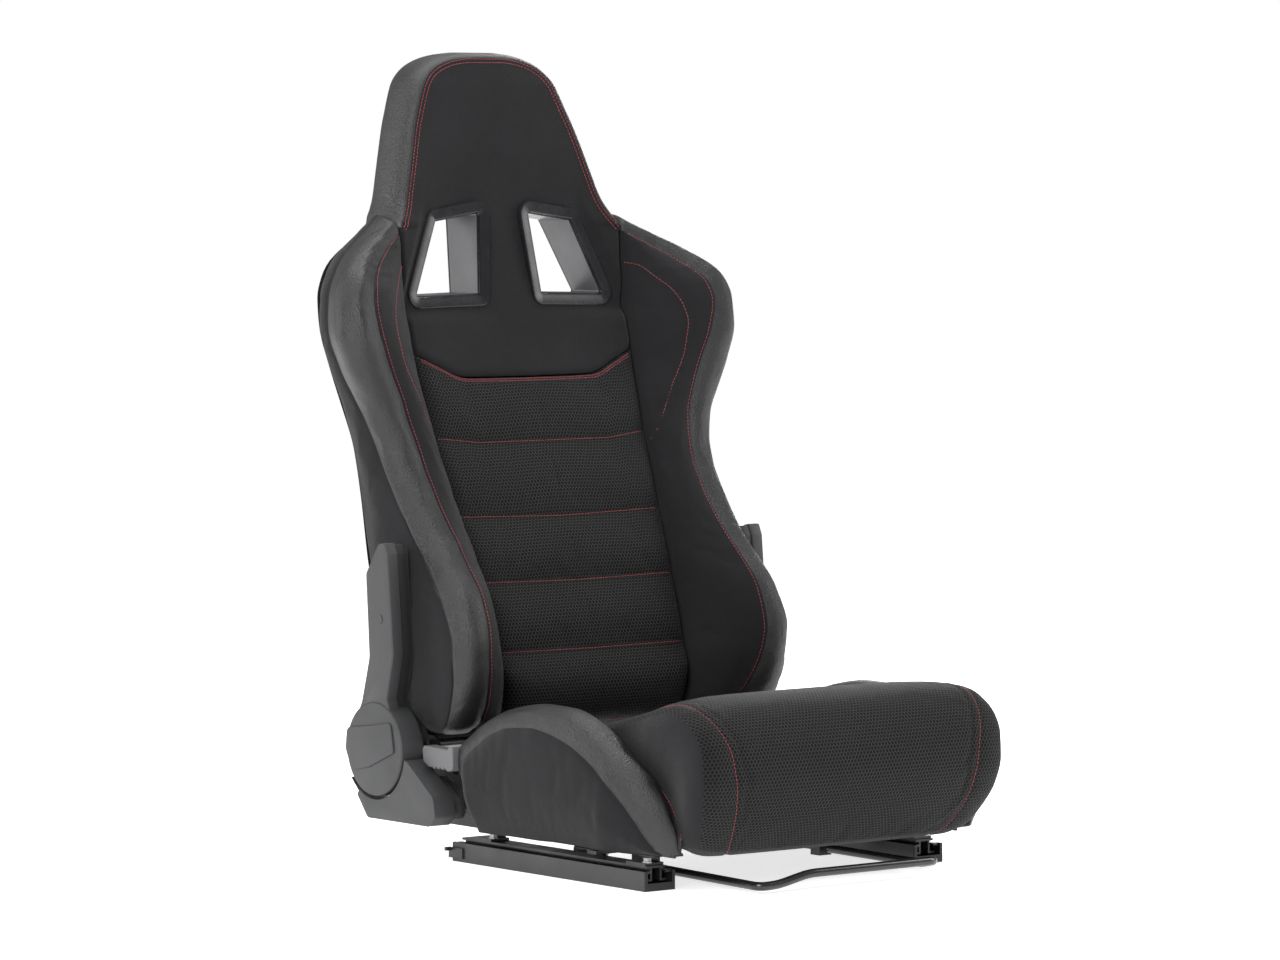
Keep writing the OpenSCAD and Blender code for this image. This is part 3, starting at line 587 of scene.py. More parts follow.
def drawn_in(line, gap):
    """An outline line moved inwards across the front by a gap, with its first and last points."""
    along = np.gradient(line, axis=0)
    inward = np.stack([along[:, 2], 0 * along[:, 0], -along[:, 0]], -1)
    inward = inward / np.linalg.norm(inward, axis=1, keepdims=True)
    return line + inward * gap


seams = [drawn_in(edge_line, 2.5), drawn_in(edge_line, 7.0)]
sew("stitching_head_rest", laid_on(front, seams), "back")

# ---------------------------------------------------------------------------
# Side wings: deep foam bolsters that run from the hips to the shoulders. The inner
# face and the outer side are knit fabric; a leather band wraps the front edge,
# sewn on with red thread, with a second red line drawn on the inner face.

# station heights, then (x, y, z) of: panel seam, red seam, outermost leather,
# leather's rear seam, rear corner, rear inside
WING = [
    ((140, 208, 150), (178, 192, 147), (214, 180, 145),
     (224, 190, 145), (212, 240, 150), (186, 262, 158)),
    ((136, 196, 158), (184, 168, 157), (230, 158, 155),
     (237, 165, 155), (221, 262, 160), (186, 270, 166)),
    ((137, 190, 180), (192, 145, 180), (236, 139, 180),
     (242, 149, 180), (225, 275, 182), (186, 276, 182)),
    ((139, 189, 213), (200, 128, 213), (239, 130, 213),
     (244, 141, 213), (228, 284, 213), (186, 284, 213)),
    ((141, 203, 250), (205, 121, 250), (242, 130, 250),
     (245, 142, 250), (230, 294, 250), (186, 294, 250)),
    ((144, 220, 296), (204, 133, 296), (240, 151, 296),
     (243, 163, 296), (231, 306, 296), (186, 307, 296)),
    ((146, 237, 340), (201, 170, 340), (236, 191, 340),
     (239, 203, 340), (232, 317, 340), (186, 319, 340)),
    ((149, 250, 372), (198, 200, 372), (234, 218, 372),
     (238, 229, 372), (232, 325, 372), (186, 328, 372)),
    ((152, 267, 417), (198, 236, 417), (234, 248, 417),
     (239, 262, 417), (232, 335, 417), (186, 338, 417)),
    ((155, 285, 462), (201, 260, 462), (238, 271, 462),
     (241, 289, 462), (233, 346, 462), (186, 349, 462)),
    ((158, 304, 511), (211, 274, 511), (253, 283, 511),
     (252, 308, 511), (238, 360, 511), (186, 363, 511)),
    ((161, 322, 562), (230, 277, 562), (276, 285, 562),
     (264, 334, 562), (246, 376, 562), (186, 378, 562)),
    ((162, 331, 600), (245, 275, 600), (288, 287, 603),
     (268, 350, 603), (251, 386, 603), (188, 389, 600)),
    ((163, 337, 624), (252, 277, 634), (286, 295, 640),
     (264, 355, 643), (248, 392, 640), (190, 395, 632)),
    ((163, 342, 646), (246, 286, 658), (271, 301, 669),
     (252, 358, 672), (238, 397, 665), (190, 400, 650)),
    ((163, 345, 663), (235, 299, 671), (252, 315, 685),
     (238, 362, 690), (226, 401, 681), (187, 403, 664)),
    ((163, 346, 677), (221, 312, 682), (233, 330, 697),
     (222, 368, 702), (211, 404, 693), (182, 407, 677)),
    ((163, 348, 695), (196, 330, 699), (205, 348, 713),
     (198, 378, 717), (190, 408, 706), (174, 411, 692)),
    ((163, 349, 708), (176, 342, 711), (184, 360, 725),
     (179, 386, 729), (172, 413, 718), (165, 414, 706)),
    ((162, 350, 717), (163, 349, 719), (172, 366, 733),
     (168, 390, 737), (161, 416, 728), (158, 416, 716)),
]


def through(features, counts, corners=()):
    """Curves across a sheet through its feature lines, smooth except at the corners named."""
    points = np.stack(features, 0)
    gap = np.linalg.norm(np.diff(points, axis=0), axis=-1)[..., None] + 1e-6
    slope = np.diff(points, axis=0) / gap
    m = np.concatenate([slope[:1], (slope[1:] * gap[:-1] + slope[:-1] * gap[1:])
                        / (gap[:-1] + gap[1:]), slope[-1:]])
    out = []
    for k, n in enumerate(counts):
        s = tight(n)[:, None, None]
        s = s if k == len(counts) - 1 else s[:-1]
        a = slope[k] if k in corners else m[k]
        b = slope[k] if k + 1 in corners else m[k + 1]
        out.append(points[k] * (1 + 2 * s) * (1 - s) ** 2 + a * gap[k] * s * (1 - s) ** 2
                   + points[k + 1] * s * s * (3 - 2 * s) + b * gap[k] * s * s * (s - 1))
    return np.concatenate(out)


stations = np.concatenate([np.linspace(0, 1, 7)[:-1], np.linspace(1, 12, 110)[:-1],
                           np.linspace(12, 19, 52)])
table = np.array([[k, *(c for p in points for c in p)] for k, points in enumerate(WING)], float)
lines = smooth(table, stations).reshape(len(stations), 6, 3)
seam_a, seam_b, outer_c, seam_d, rear_e, rear_f = (lines[:, k] for k in range(6))


def lean_out(p, q, share, amount, away):
    """A point between two others, pushed away from a third line by an amount."""
    middle = p + (q - p) * share
    chord = q - p
    chord = chord / np.maximum(np.linalg.norm(chord, axis=1, keepdims=True), 1e-6)
    push = middle - away
    push = push - (push * chord).sum(1, keepdims=True) * chord
    push = push / np.maximum(np.linalg.norm(push, axis=1, keepdims=True), 1e-6)
    return middle + push * np.asarray(amount)[:, None]


core = rear_f * 0.6 + seam_d * 0.4
thin = np.clip((19 - stations) / 3.5, 0.1, 1)
inner_one = lean_out(seam_a, seam_b, 0.35, 7 * thin, core)
inner_two = lean_out(seam_a, seam_b, 0.72, 9 * thin, core)
leather_mid = lean_out(seam_b, outer_c, 0.5, smooth([(0, 5), (3, 8), (10, 9), (13, 11), (19, 5)],
                                                    stations), core)
side_mid = lean_out(seam_d, rear_e, 0.5, smooth([(0, 3), (4, 6), (19, 3)], stations), core)
front_wing = through([seam_a, inner_one, inner_two, seam_b, leather_mid, outer_c, seam_d, side_mid,
                      rear_e], [8, 8, 8, 6, 6, 8, 7, 7], corners=(3, 6))
B_COLUMN, D_COLUMN = 24, 44
rear_wing = through([seam_a + np.array([0.6, 27, 0]), rear_f, rear_e - np.array([2.5, 0, 0])],
                    [30, 28], corners=(1,))
# each seam draws the padding in a little
arc = run(front_wing, 0)
pull = (2.0 * np.exp(-((arc - arc[B_COLUMN]) / 3.2) ** 2)
        + 1.6 * np.exp(-((arc - arc[D_COLUMN]) / 2.6) ** 2)
        + 4.0 * np.exp(-(arc / 5.0) ** 2))
front_wing = front_wing - facing(front_wing) * pull[..., None]
# soft creases run out from the seams
wave = (np.sin(stations * 5.3) * 0.5 + np.sin(stations * 8.9 + 1) * 0.35)[None, :]
near = np.exp(-np.abs(arc - arc[B_COLUMN]) / 16.0)
front_wing = front_wing - facing(front_wing) * (0.55 * wave * near)[..., None]
paint = np.zeros((len(front_wing) - 1, len(stations) - 1), int)
paint[B_COLUMN:D_COLUMN] = 1
# the second red line on the inner face, and where it sinks in
INNER_LINE = [(162, 347, 678), (174, 330, 675), (194, 319, 659), (209, 307, 644), (218, 298, 625),
              (220, 293, 606), (214, 293, 575), (200, 295, 534), (183, 292, 491), (172, 290, 462)]

for side, s in (("left", 1), ("right", -1)):
    sheet, back = front_wing.copy(), rear_wing.copy()
    inner = smooth([(k, *p) for k, p in enumerate(INNER_LINE)], np.linspace(0, 9, 60))
    sheet[..., 0] *= s
    back[..., 0] *= s
    if s < 0:
        sheet, back, tint = sheet[::-1], back[::-1], paint[::-1]
        cloth = np.stack([run(sheet, 0), run(sheet, 1)], -1)
    else:
        tint, cloth = paint, None
    wing = upholster(f"wing_{side}", sheet, back, [0, 0.1, 0.3, 0.65, 1], [knit, leather], tint,
                     cloth=cloth)
    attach(wing, "back")
    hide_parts(f"back_wing_{side}")
    beside_line = np.min([np.linalg.norm(front_wing - p, axis=-1) for p in inner], 0)
    loose = ((beside_line > 13) & (arc > 9) & (np.abs(arc - arc[B_COLUMN]) > 5)
             & (np.abs(arc - arc[D_COLUMN]) > 4)
             & (arc < arc[-1] - 8) & (stations > 0.8) & (stations < 18))
    SOFT.append((wing, loose if s > 0 else loose[::-1], 5))
    turn = np.array([s, 1, 1])
    column = B_COLUMN if s > 0 else len(sheet) - 1 - B_COLUMN
    step = -2 if s > 0 else 2
    kept = slice(5, -4)
    rows_of = [lattice_line(sheet, i=column + step, part=kept)]
    rows_of.append(laid_on(sheet, [inner * turn])[0])
    sew(f"stitching_wing_{side}", rows_of, "back")

# ---------------------------------------------------------------------------
# Rear of the back: a thin shell covered in knit fabric, clipped to the back frame
# inside the padding, with rounded edges and openings for the two slots.

REAR_HALF = [(130, 196), (147, 206), (163, 216), (186, 224), (250, 229), (330, 231),
             (463, 233), (511, 238), (562, 246), (603, 251), (640, 248), (665, 238),
             (681, 226), (693, 211), (706, 190), (718, 168), (730, 153), (748, 144),
             (778, 136), (818, 124), (855, 111), (890, 95), (906, 78), (915, 60), (921, 40)]
heights_r = np.concatenate([np.linspace(130, 690, 92)[:-1], np.linspace(690, 735, 22)[:-1],
                            np.linspace(735, 897, 34)[:-1], np.linspace(897, 921, 16)])
across_r = np.linspace(-1, 1, 81)
across_r = np.sign(across_r) * (1 - (1 - np.abs(across_r)) ** 1.4)
half_r = smooth(REAR_HALF, heights_r)
X = across_r[:, None] * half_r[None, :]
Z = np.broadcast_to(heights_r[None, :], X.shape)
rear_y = smooth(REAR_FACE, Z)
inset = np.minimum((1 - np.abs(across_r))[:, None] * half_r[None, :],
                   np.minimum(heights_r - 130, 921 - heights_r)[None, :])
round_over = 7 * (1 - np.clip(inset / 9, 0, 1)) ** 2
gentle = 5 * (1 - across_r ** 2)[:, None]
piping = 1.8 * np.exp(-((inset - 16) / 1.6) ** 2)
outer = np.stack([X, rear_y - 5 + gentle - round_over - piping, Z], -1)
inner_face = np.stack([X * 0.99, rear_y - 12, Z], -1)
rear_shell = upholster("rear_cover", inner_face, outer, [0, 0.5, 1], [knit],
                       np.zeros((len(across_r) - 1, len(heights_r) - 1), int))
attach(rear_shell, "back")
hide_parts("rear_panel")

# ---------------------------------------------------------------------------
# Harness slots: a glossy moulded frame on the front and one on the rear of each
# slot, with a satin sleeve between them that lines the padding.

def shrunk(outline, gap):
    """An outline moved inwards by a gap, point by point."""
    p = np.array(outline)
    along = np.roll(p, -1, 0) - np.roll(p, 1, 0)
    normal = np.stack([along[:, 1], -along[:, 0]], -1)
    normal = normal / np.linalg.norm(normal, axis=1, keepdims=True)
    area = np.sum(p[:, 0] * np.roll(p[:, 1], -1) - np.roll(p[:, 0], -1) * p[:, 1])
    return p - normal * gap * np.sign(area)


gloss, shader = finish_of("bezel_gloss", (0.010, 0.010, 0.012), 0.25, specular_ior_level=0.4)
dress(gloss, shader, 20, (0.008, 0.008, 0.010), (0.012, 0.012, 0.014), 500, 900, 0.03, 0.0002,
      rough=(0.2, 0.32))
satin, shader = finish_of("sleeve_plastic", (0.07, 0.07, 0.075), 0.34)
dress(satin, shader, 16, (0.06, 0.06, 0.064), (0.08, 0.08, 0.086), 700, 1100, 0.08, 0.0002,
      rough=(0.28, 0.42))


def rounded(corners, radii, steps=7):
    """A closed outline whose corners are rounded off, each by its own radius."""
    out = []
    n = len(corners)
    for k in range(n):
        p = Vector(corners[k])
        a, b = (Vector(corners[k - 1]) - p), (Vector(corners[(k + 1) % n]) - p)
        angle = a.angle(b)
        a.normalize()
        b.normalize()
        reach = radii[k] / math.tan(angle / 2)
        centre = p + (a + b).normalized() * (radii[k] / math.sin(angle / 2))
        start, end = p + a * reach - centre, p + b * reach - centre
        turn = start.angle_signed(end)
        for i in range(steps + 1):
            t = -turn * i / steps
            c, s = math.cos(t), math.sin(t)
            out.append((centre.x + start.x * c - start.y * s, centre.y + start.x * s + start.y * c))
    return out


def slot_ring(name, steps, material):
    """A ring swept round a slot through steps of (inset, depth at x and z)."""
    bpy.ops.object.select_all(action="DESELECT")
    outline = rounded(SLOT, SLOT_RADII)
    loops = [shrunk(outline, gap) for gap, _ in steps]
    n = len(outline)
    points = [(x, depth(x, z), z) for (gap, depth), loop in zip(steps, loops) for x, z in loop]
    k = len(steps)
    faces = [(a * n + i, a * n + (i + 1) % n, (a + 1) % k * n + (i + 1) % n, (a + 1) % k * n + i)
             for a in range(k) for i in range(n)]
    mesh = bpy.data.meshes.new(name)
    mesh.from_pydata([tuple(c * MM for c in p) for p in points], [], faces)
    mesh.materials.append(material)
    piece = bpy.data.objects.new(name, mesh)
    bpy.context.scene.collection.objects.link(piece)
    bpy.context.view_layer.objects.active = piece
    piece.select_set(True)
    bpy.ops.object.mode_set(mode="EDIT")
    bpy.ops.mesh.select_all(action="SELECT")
    bpy.ops.mesh.normals_make_consistent(inside=False)
    bpy.ops.object.mode_set(mode="OBJECT")
    bpy.ops.object.shade_smooth_by_angle(angle=math.radians(26))
    return piece


def mirrored(piece, name):
    """A copy of a left piece for the right side, turned the right way out again."""
    other = piece.copy()
    other.data = piece.data.copy()
    other.name = other.data.name = name
    bpy.context.scene.collection.objects.link(other)
    for v in other.data.vertices:
        v.co.x = -v.co.x
    other.data.flip_normals()
    return other


def behind(x, z):
    """Depth of the rear frames' plane."""
    return smooth(REAR_FACE, np.asarray(z, float)) + 0.5


FRONT_STEPS = [(0, lambda x, z: in_front(x, z) + 9), (0, lambda x, z: in_front(x, z) - 3.4),
               (0.5, lambda x, z: in_front(x, z) - 4.6), (1.6, lambda x, z: in_front(x, z) - 5.2),
               (11.8, lambda x, z: in_front(x, z) - 4.2), (13.0, lambda x, z: in_front(x, z) - 3.5),
               (13.6, lambda x, z: in_front(x, z) - 2.2), (13.6, lambda x, z: in_front(x, z) + 9)]
SLEEVE_STEPS = [(12.0, lambda x, z: in_front(x, z) + 2), (12.0, lambda x, z: behind(x, z) - 4),
                (15.0, lambda x, z: behind(x, z) - 3), (15.0, lambda x, z: in_front(x, z) + 1)]
REAR_STEPS = [(0, lambda x, z: behind(x, z) - 5), (0, lambda x, z: behind(x, z) + 2),
              (1.2, lambda x, z: behind(x, z) + 3.2), (12.0, lambda x, z: behind(x, z) + 3.0),
              (13.8, lambda x, z: behind(x, z) + 1.6), (14.0, lambda x, z: behind(x, z) - 5)]
for kind, steps, material, node, paint_slot in (
        ("slot_frame", FRONT_STEPS, gloss, "harness_bezel", "bezel_gloss"),
        ("slot_sleeve", SLEEVE_STEPS, satin, "harness_sleeve", "sleeve_plastic"),
        ("slot_rear_frame", REAR_STEPS, gloss, "rear_bezel", "bezel_gloss")):
    left = slot_ring(f"{kind}_left", steps, material)
    for side, piece in (("left", left), ("right", mirrored(left, f"{kind}_right"))):
        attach(piece, "back")
        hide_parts(f"{node}_{side}")

# cut the slots through the padding and the rear cover
outline = shrunk(rounded(SLOT, SLOT_RADII), 4.5)
for s in (1, -1):
    bpy.ops.object.select_all(action="DESELECT")
    bpy.ops.mesh.primitive_circle_add(vertices=len(outline), fill_type="NGON")
    cutter = bpy.context.object
    for v, (x, z) in zip(cutter.data.vertices, outline):
        v.co = (s * x * MM, 0.30, z * MM)
    bpy.ops.object.mode_set(mode="EDIT")
    bpy.ops.mesh.select_all(action="SELECT")
    bpy.ops.mesh.extrude_region_move(TRANSFORM_OT_translate={"value": (0, 0.2, 0)})
    bpy.ops.mesh.select_all(action="SELECT")
    bpy.ops.mesh.normals_make_consistent(inside=False)
    bpy.ops.object.mode_set(mode="OBJECT")
    for pad in (head_pad, rear_shell):
        bpy.ops.object.select_all(action="DESELECT")
        bpy.context.view_layer.objects.active = pad
        pad.select_set(True)
        cut = pad.modifiers.new("slot", "BOOLEAN")
        cut.operation, cut.object, cut.solver = "DIFFERENCE", cutter, "EXACT"
        bpy.ops.object.modifier_apply(modifier="slot")
    bpy.data.objects.remove(cutter)

# ---------------------------------------------------------------------------
# Seat cushion: foam with a tall thigh roll in front. Spacer mesh wraps the top
# and the roll, plain knit closes its two ends, and a red line runs near each end.

# across the middle: the top of the cushion from the rear to under the roll, then
# the same places on its underside
PROFILE = [((206, 106), (204, 96)), ((203, 124), (200, 93)), ((182, 137), (182, 91)),
           ((90, 149), (90, 88)), ((0, 162), (0, 86)), ((-90, 183), (-70, 84)),
           ((-150, 199), (-110, 83)), ((-190, 210), (-140, 82)), ((-215, 213), (-152, 81)),
           ((-237, 210), (-162, 80)), ((-257, 200), (-168, 79)), ((-275, 182), (-172, 78)),
           ((-285, 158), (-174, 76)), ((-287, 128), (-176, 74)), ((-280, 95), (-178, 68)),
           ((-264, 66), (-182, 60)), ((-246, 46), (-190, 52)), ((-232, 40), (-200, 48))]
profile = np.array([(k, *t, *u) for k, (t, u) in enumerate(PROFILE)], float)
steps = np.linspace(len(PROFILE) - 1, 0, 130)
rough = smooth(profile, steps)
top, under = rough[:, :2], rough[:, 2:]
along = np.gradient(top, axis=0)
outward = np.stack([-along[:, 1], along[:, 0]], -1)
outward = outward / np.linalg.norm(outward, axis=1, keepdims=True)
end_x = smooth([(0, 202), (4, 203), (5.5, 206), (7, 213), (9, 217), (13, 216), (14, 212), (15, 203),
                (16, 193), (17, 185)], steps)
across = np.linspace(-1, 1, 101)
across = np.sign(across) * (1 - (1 - np.abs(across)) ** 1.5)
fall = (0.30 * np.abs(across) ** 3.5 + 0.70 * np.abs(across) ** 22)
drop = smooth([(0, 5), (3, 8), (6, 13), (8, 14), (9, 13), (12, 9), (14, 9), (16, 6), (17, 4)], steps)
X = across[:, None] * end_x[None, :]
shift = -outward[None] * (fall[:, None] * drop[None, :])[..., None]
front = np.concatenate([X[..., None], top[None] + shift], -1)
rear = np.concatenate([(X * np.minimum(1, 203 / end_x))[..., None],
                       np.broadcast_to(under[None], shift.shape)], -1)
# the cloth puckers a little beside the red lines
line_x = smooth([(6, 186), (7, 196), (9, 197), (11, 187), (12, 180), (13, 175), (14.5, 167),
                 (15.5, 159), (17, 147)], steps)
off = np.abs(np.abs(X) - line_x[None, :])
front = front - facing(front) * (1.3 * np.exp(-(off / 3.0) ** 2) * (steps > 5))[..., None]
swell = np.zeros(front.shape[:2] + (7, 3))
bulge = (np.array([0, 3.5, 7.5, 8, 1, -2, 0])[None, :]
         * smooth([(0, 0.1), (5, 0.2), (7.5, 1), (13, 1), (15.5, 0.6), (17, 0.2)], steps)[:, None])
swell[0, :, :, 0], swell[-1, :, :, 0] = -bulge, bulge
paint = np.zeros((len(across) - 1, len(steps) - 1), int)
cushion = upholster("seat_cushion_mesh", front, rear, [0, 0.04, 0.12, 0.3, 0.55, 0.8, 1],
                    [air_mesh, knit], paint, swell=swell,
                    cloth=np.stack([X, np.broadcast_to(run(np.concatenate(
                        [0 * top[:, :1], top], 1)[None], 1)[0][None], X.shape)], -1),
                    ends=np.ones(len(steps) - 1, int))
tones = np.zeros(len(cushion.data.polygons), np.int32)
cushion.data.polygons.foreach_get("material_index", tones)
for face in cushion.data.polygons:
    if face.normal.z < -0.8:
        tones[face.index] = 1
cushion.data.polygons.foreach_set("material_index", tones)
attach(cushion, "seat")
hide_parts("seat_cushion")
SOFT.append((cushion, (off > 6) & (np.abs(across) < 0.96)[:, None] & (steps > 1) & (steps < 16), 7))
lines = []
for s in (-1, 1):
    pick_rows = steps > 5.4
    rough_line = np.stack([s * line_x, top[:, 0], top[:, 1]], -1)[pick_rows]
    lines.append(rough_line - np.concatenate([0 * line_x[:, None], outward], 1)[pick_rows]
                 * (drop * 0.32)[pick_rows][:, None])
sew("stitching_cushion", laid_on(front, lines), "seat")

# ---------------------------------------------------------------------------
# Side bolsters of the cushion: half-moons of foam with a knit side and a leather
# strip sewn over the crown. They sit on the frame's side plates.

# places along the half-moon: outer seam, crown and base, each (y, z)
MOON = [((86, 66), (92, 70), (84, 48)), ((108, 92), (118, 96), (83, 46)),
        ((106, 112), (129, 118), (80, 46)), ((94, 130), (126, 138), (74, 46)),
        ((76, 142), (104, 155), (64, 46)), ((49, 158), (72, 173), (45, 46)),
        ((14, 169), (30, 188), (14, 47)), ((-30, 172), (-26, 196), (-30, 47)),
        ((-74, 165), (-72, 195), (-70, 48)), ((-117, 150), (-116, 183), (-108, 48)),
        ((-156, 126), (-160, 158), (-143, 47)), ((-188, 94), (-203, 126), (-170, 46)),
        ((-204, 67), (-222, 96), (-188, 45)), ((-211, 50), (-230, 66), (-200, 44)),
        ((-213, 43), (-229, 47), (-208, 43))]
moon = np.array([(k, *a, *b, *c) for k, (a, b, c) in enumerate(MOON)], float)
steps = np.linspace(0, len(MOON) - 1, 120)
rough = smooth(moon, steps)
seam, crown, base = rough[:, 0:2], rough[:, 2:4], rough[:, 4:6]


def at_x(x, yz):
    return np.concatenate([np.broadcast_to(np.asarray(x, float), (len(yz),))[:, None], yz], 1)


ends = smooth([(0, 0.25), (1.5, 0.8), (3, 1), (10, 1), (11, 0.85), (12, 0.65), (13, 0.48), (14, 0.3)],
              steps)
middle_x = smooth([(0, 233), (10, 233), (11, 228), (12, 223), (13, 217), (14, 213)], steps)
sheet = through([
    at_x(middle_x + 22 * ends, base), at_x(middle_x + 32 * ends, base + (seam - base) * 0.45),
    at_x(middle_x + 29 * ends, seam), at_x(middle_x + 19 * ends, seam + (crown - seam) * 0.72),
    at_x(middle_x - 1, crown), at_x(middle_x - 15 * ends, crown + (seam - crown) * 0.22),
    at_x(middle_x - 21 * ends, crown + (base - crown) * 0.16 * ends[:, None]),
    at_x(middle_x - 21 * ends, base)], [9, 9, 7, 7, 6, 6, 12])
SEAM_COLUMN, STRIP_END = 18, 44
arc = run(sheet, 0)
pull = (1.8 * np.exp(-((arc - arc[SEAM_COLUMN]) / 3.0) ** 2)
        + 1.5 * np.exp(-((arc - arc[STRIP_END]) / 3.0) ** 2))
sheet = sheet - facing(sheet) * pull[..., None]
ripple = (np.sin(steps * 6.1) * 0.5 + np.sin(steps * 10.3 + 2) * 0.4)[None, :]
sheet = sheet - facing(sheet) * (0.5 * ripple * np.exp(-np.abs(arc - arc[SEAM_COLUMN]) / 14))[..., None]
share = (arc / arc[-1:])[..., None]
flat = (at_x(middle_x + 22 * ends, base)[None] * (1 - share)
        + at_x(middle_x - 21 * ends, base)[None] * share)
flat = flat + np.array([0, 0, -1.0])
paint = np.zeros((len(sheet) - 1, len(steps) - 1), int)
paint[SEAM_COLUMN:STRIP_END] = 1
for side, s in (("left", 1), ("right", -1)):
    skin, sole = sheet.copy(), flat.copy()
    skin[..., 0] *= s
    sole[..., 0] *= s
    tint = paint
    if s < 0:
        skin, sole, tint = skin[::-1], sole[::-1], paint[::-1]
    bolster = upholster(f"bolster_{side}", skin, sole, [0, 0.5, 1], [knit, leather], tint)
    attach(bolster, "seat")
    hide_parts(f"cushion_bolster_{side}")
    loose = ((arc > 8) & (np.abs(arc - arc[SEAM_COLUMN]) > 4.5) & (np.abs(arc - arc[STRIP_END]) > 4.5)
             & (arc < arc[-1] - 14) & (steps > 1) & (steps < 13))
    SOFT.append((bolster, loose if s > 0 else loose[::-1], 3))
    column = STRIP_END if s > 0 else len(skin) - 1 - STRIP_END
    sew(f"stitching_bolster_{side}", [lattice_line(skin, i=column + (1 if s > 0 else -1),
                                                   part=slice(14, -6))], "seat")

# ---------------------------------------------------------------------------
# The foam presses the covers out between their seams: one short cloth simulation
# of all the soft pieces, each held fast at its seams, sides and rear.

# steps of the simulation, and how far in metres it may move a point
FOAM_STEPS, FOAM_REACH = 12, 0.003
for piece, free, layers in SOFT:
    held = np.ones((*free.shape, layers), bool)
    held[1:-1, 1:-1, 0] = ~free[1:-1, 1:-1]
    outer_only = np.zeros(held.shape, bool)
    outer_only[[0, -1]] = outer_only[:, [0, -1]] = outer_only[:, :, [0, -1]] = True
    group = piece.vertex_groups.new(name="held")
    group.add(np.flatnonzero(held[outer_only]).tolist(), 1.0, "REPLACE")
    press = piece.modifiers.new("foam", "CLOTH")
    press.settings.quality, press.settings.mass = 3, 0.3
    press.settings.tension_stiffness = press.settings.compression_stiffness = 12
    press.settings.bending_stiffness = 0.3
    press.settings.use_pressure, press.settings.uniform_pressure_force = True, 2
    press.settings.shrink_min = -0.003
    press.settings.vertex_group_mass = "held"
    press.settings.effector_weights.gravity = 0
    press.collision_settings.use_collision = False
for step in range(1, FOAM_STEPS + 1):
    bpy.context.scene.frame_set(step)
graph = bpy.context.evaluated_depsgraph_get()
for piece, free, layers in SOFT:
    cover = piece.evaluated_get(graph).to_mesh()
    before, after = np.zeros(len(cover.vertices) * 3), np.zeros(len(cover.vertices) * 3)
    piece.data.vertices.foreach_get("co", before)
    cover.vertices.foreach_get("co", after)
    moved = (after - before).reshape(-1, 3)
    far = np.linalg.norm(moved, axis=1, keepdims=True)
    moved = np.where(np.isfinite(far), moved * np.minimum(1, FOAM_REACH / np.maximum(far, 1e-9)), 0)
    piece.evaluated_get(graph).to_mesh_clear()
    piece.data.vertices.foreach_set("co", before + moved.ravel())
    piece.data.update()
for piece, free, layers in SOFT:
    piece.modifiers.remove(piece.modifiers["foam"])
    piece.vertex_groups.clear()
bpy.context.scene.frame_set(1)

# ---------------------------------------------------------------------------
# Recliner covers: moulded plastic in a warm dark grey. The upper one is a round
# box with an arm and turns with the back; the lower one is screwed to the seat.

plastic, shader = finish_of("cover_plastic", (0.04, 0.0405, 0.042), 0.5, specular_ior_level=0.4)
dress(plastic, shader, 11, (0.036, 0.0365, 0.038), (0.044, 0.0445, 0.0465), 900, 1500, 0.25, 0.0004,
      rough=(0.44, 0.56))
# a near-black copy of the cover plastic: painted shade for the inner side of the arm
shadow_plastic, shader = finish_of("arm_painted_shade_plastic", (0.012, 0.012, 0.013), 0.5)
dress(shadow_plastic, shader, 11, (0.010, 0.010, 0.011), (0.015, 0.015, 0.016), 900, 1500, 0.15,
      0.0003)
recline = next(j for j in frame["joints"] if j["name"] == "back_recline")
HINGE_Y, HINGE_Z = recline["pos_m"][1] / MM, recline["pos_m"][2] / MM
COVER_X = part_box("upper_cover_left")[1].x / MM


def moulding(name, outline, x0, x1, edge, material, side):
    """A plate cut to an outline in (y, z) from x0 out to x1, with every edge rounded over."""
    bpy.ops.object.select_all(action="DESELECT")
    bpy.ops.mesh.primitive_circle_add(vertices=len(outline), fill_type="NGON")
    piece = bpy.context.object
    piece.name = piece.data.name = name
    for v, (y, z) in zip(piece.data.vertices, outline):
        v.co = (side * x0 * MM, y * MM, z * MM)
    bpy.ops.object.mode_set(mode="EDIT")
    bpy.ops.mesh.select_all(action="SELECT")
    bpy.ops.mesh.extrude_region_move(
        TRANSFORM_OT_translate={"value": (side * (x1 - x0) * MM, 0, 0)})
    bpy.ops.mesh.select_all(action="SELECT")
    bpy.ops.mesh.normals_make_consistent(inside=False)
    bpy.ops.object.mode_set(mode="OBJECT")
    rounding = piece.modifiers.new("edges", "BEVEL")
    rounding.width, rounding.segments, rounding.limit_method = edge * MM, 3, "ANGLE"
    rounding.angle_limit = math.radians(50)
    bpy.ops.object.modifier_apply(modifier="edges")
    piece.data.materials.append(material)
    bpy.ops.object.shade_smooth_by_angle(angle=math.radians(35))
    return piece


def joined(name, pieces):
    """Several finished solids as one piece."""
    bpy.ops.object.select_all(action="DESELECT")
    for p in pieces:
        p.select_set(True)
    bpy.context.view_layer.objects.active = pieces[0]
    bpy.ops.object.join()
    pieces[0].name = pieces[0].data.name = name
    return pieces[0]


def arc_points(radius, start, end, n):
    """Points round the recline axis from one angle to another, in degrees from the rear."""
    return [(HINGE_Y + radius * math.cos(math.radians(a)), HINGE_Z + radius * math.sin(math.radians(a)))
            for a in np.linspace(start, end, n)]


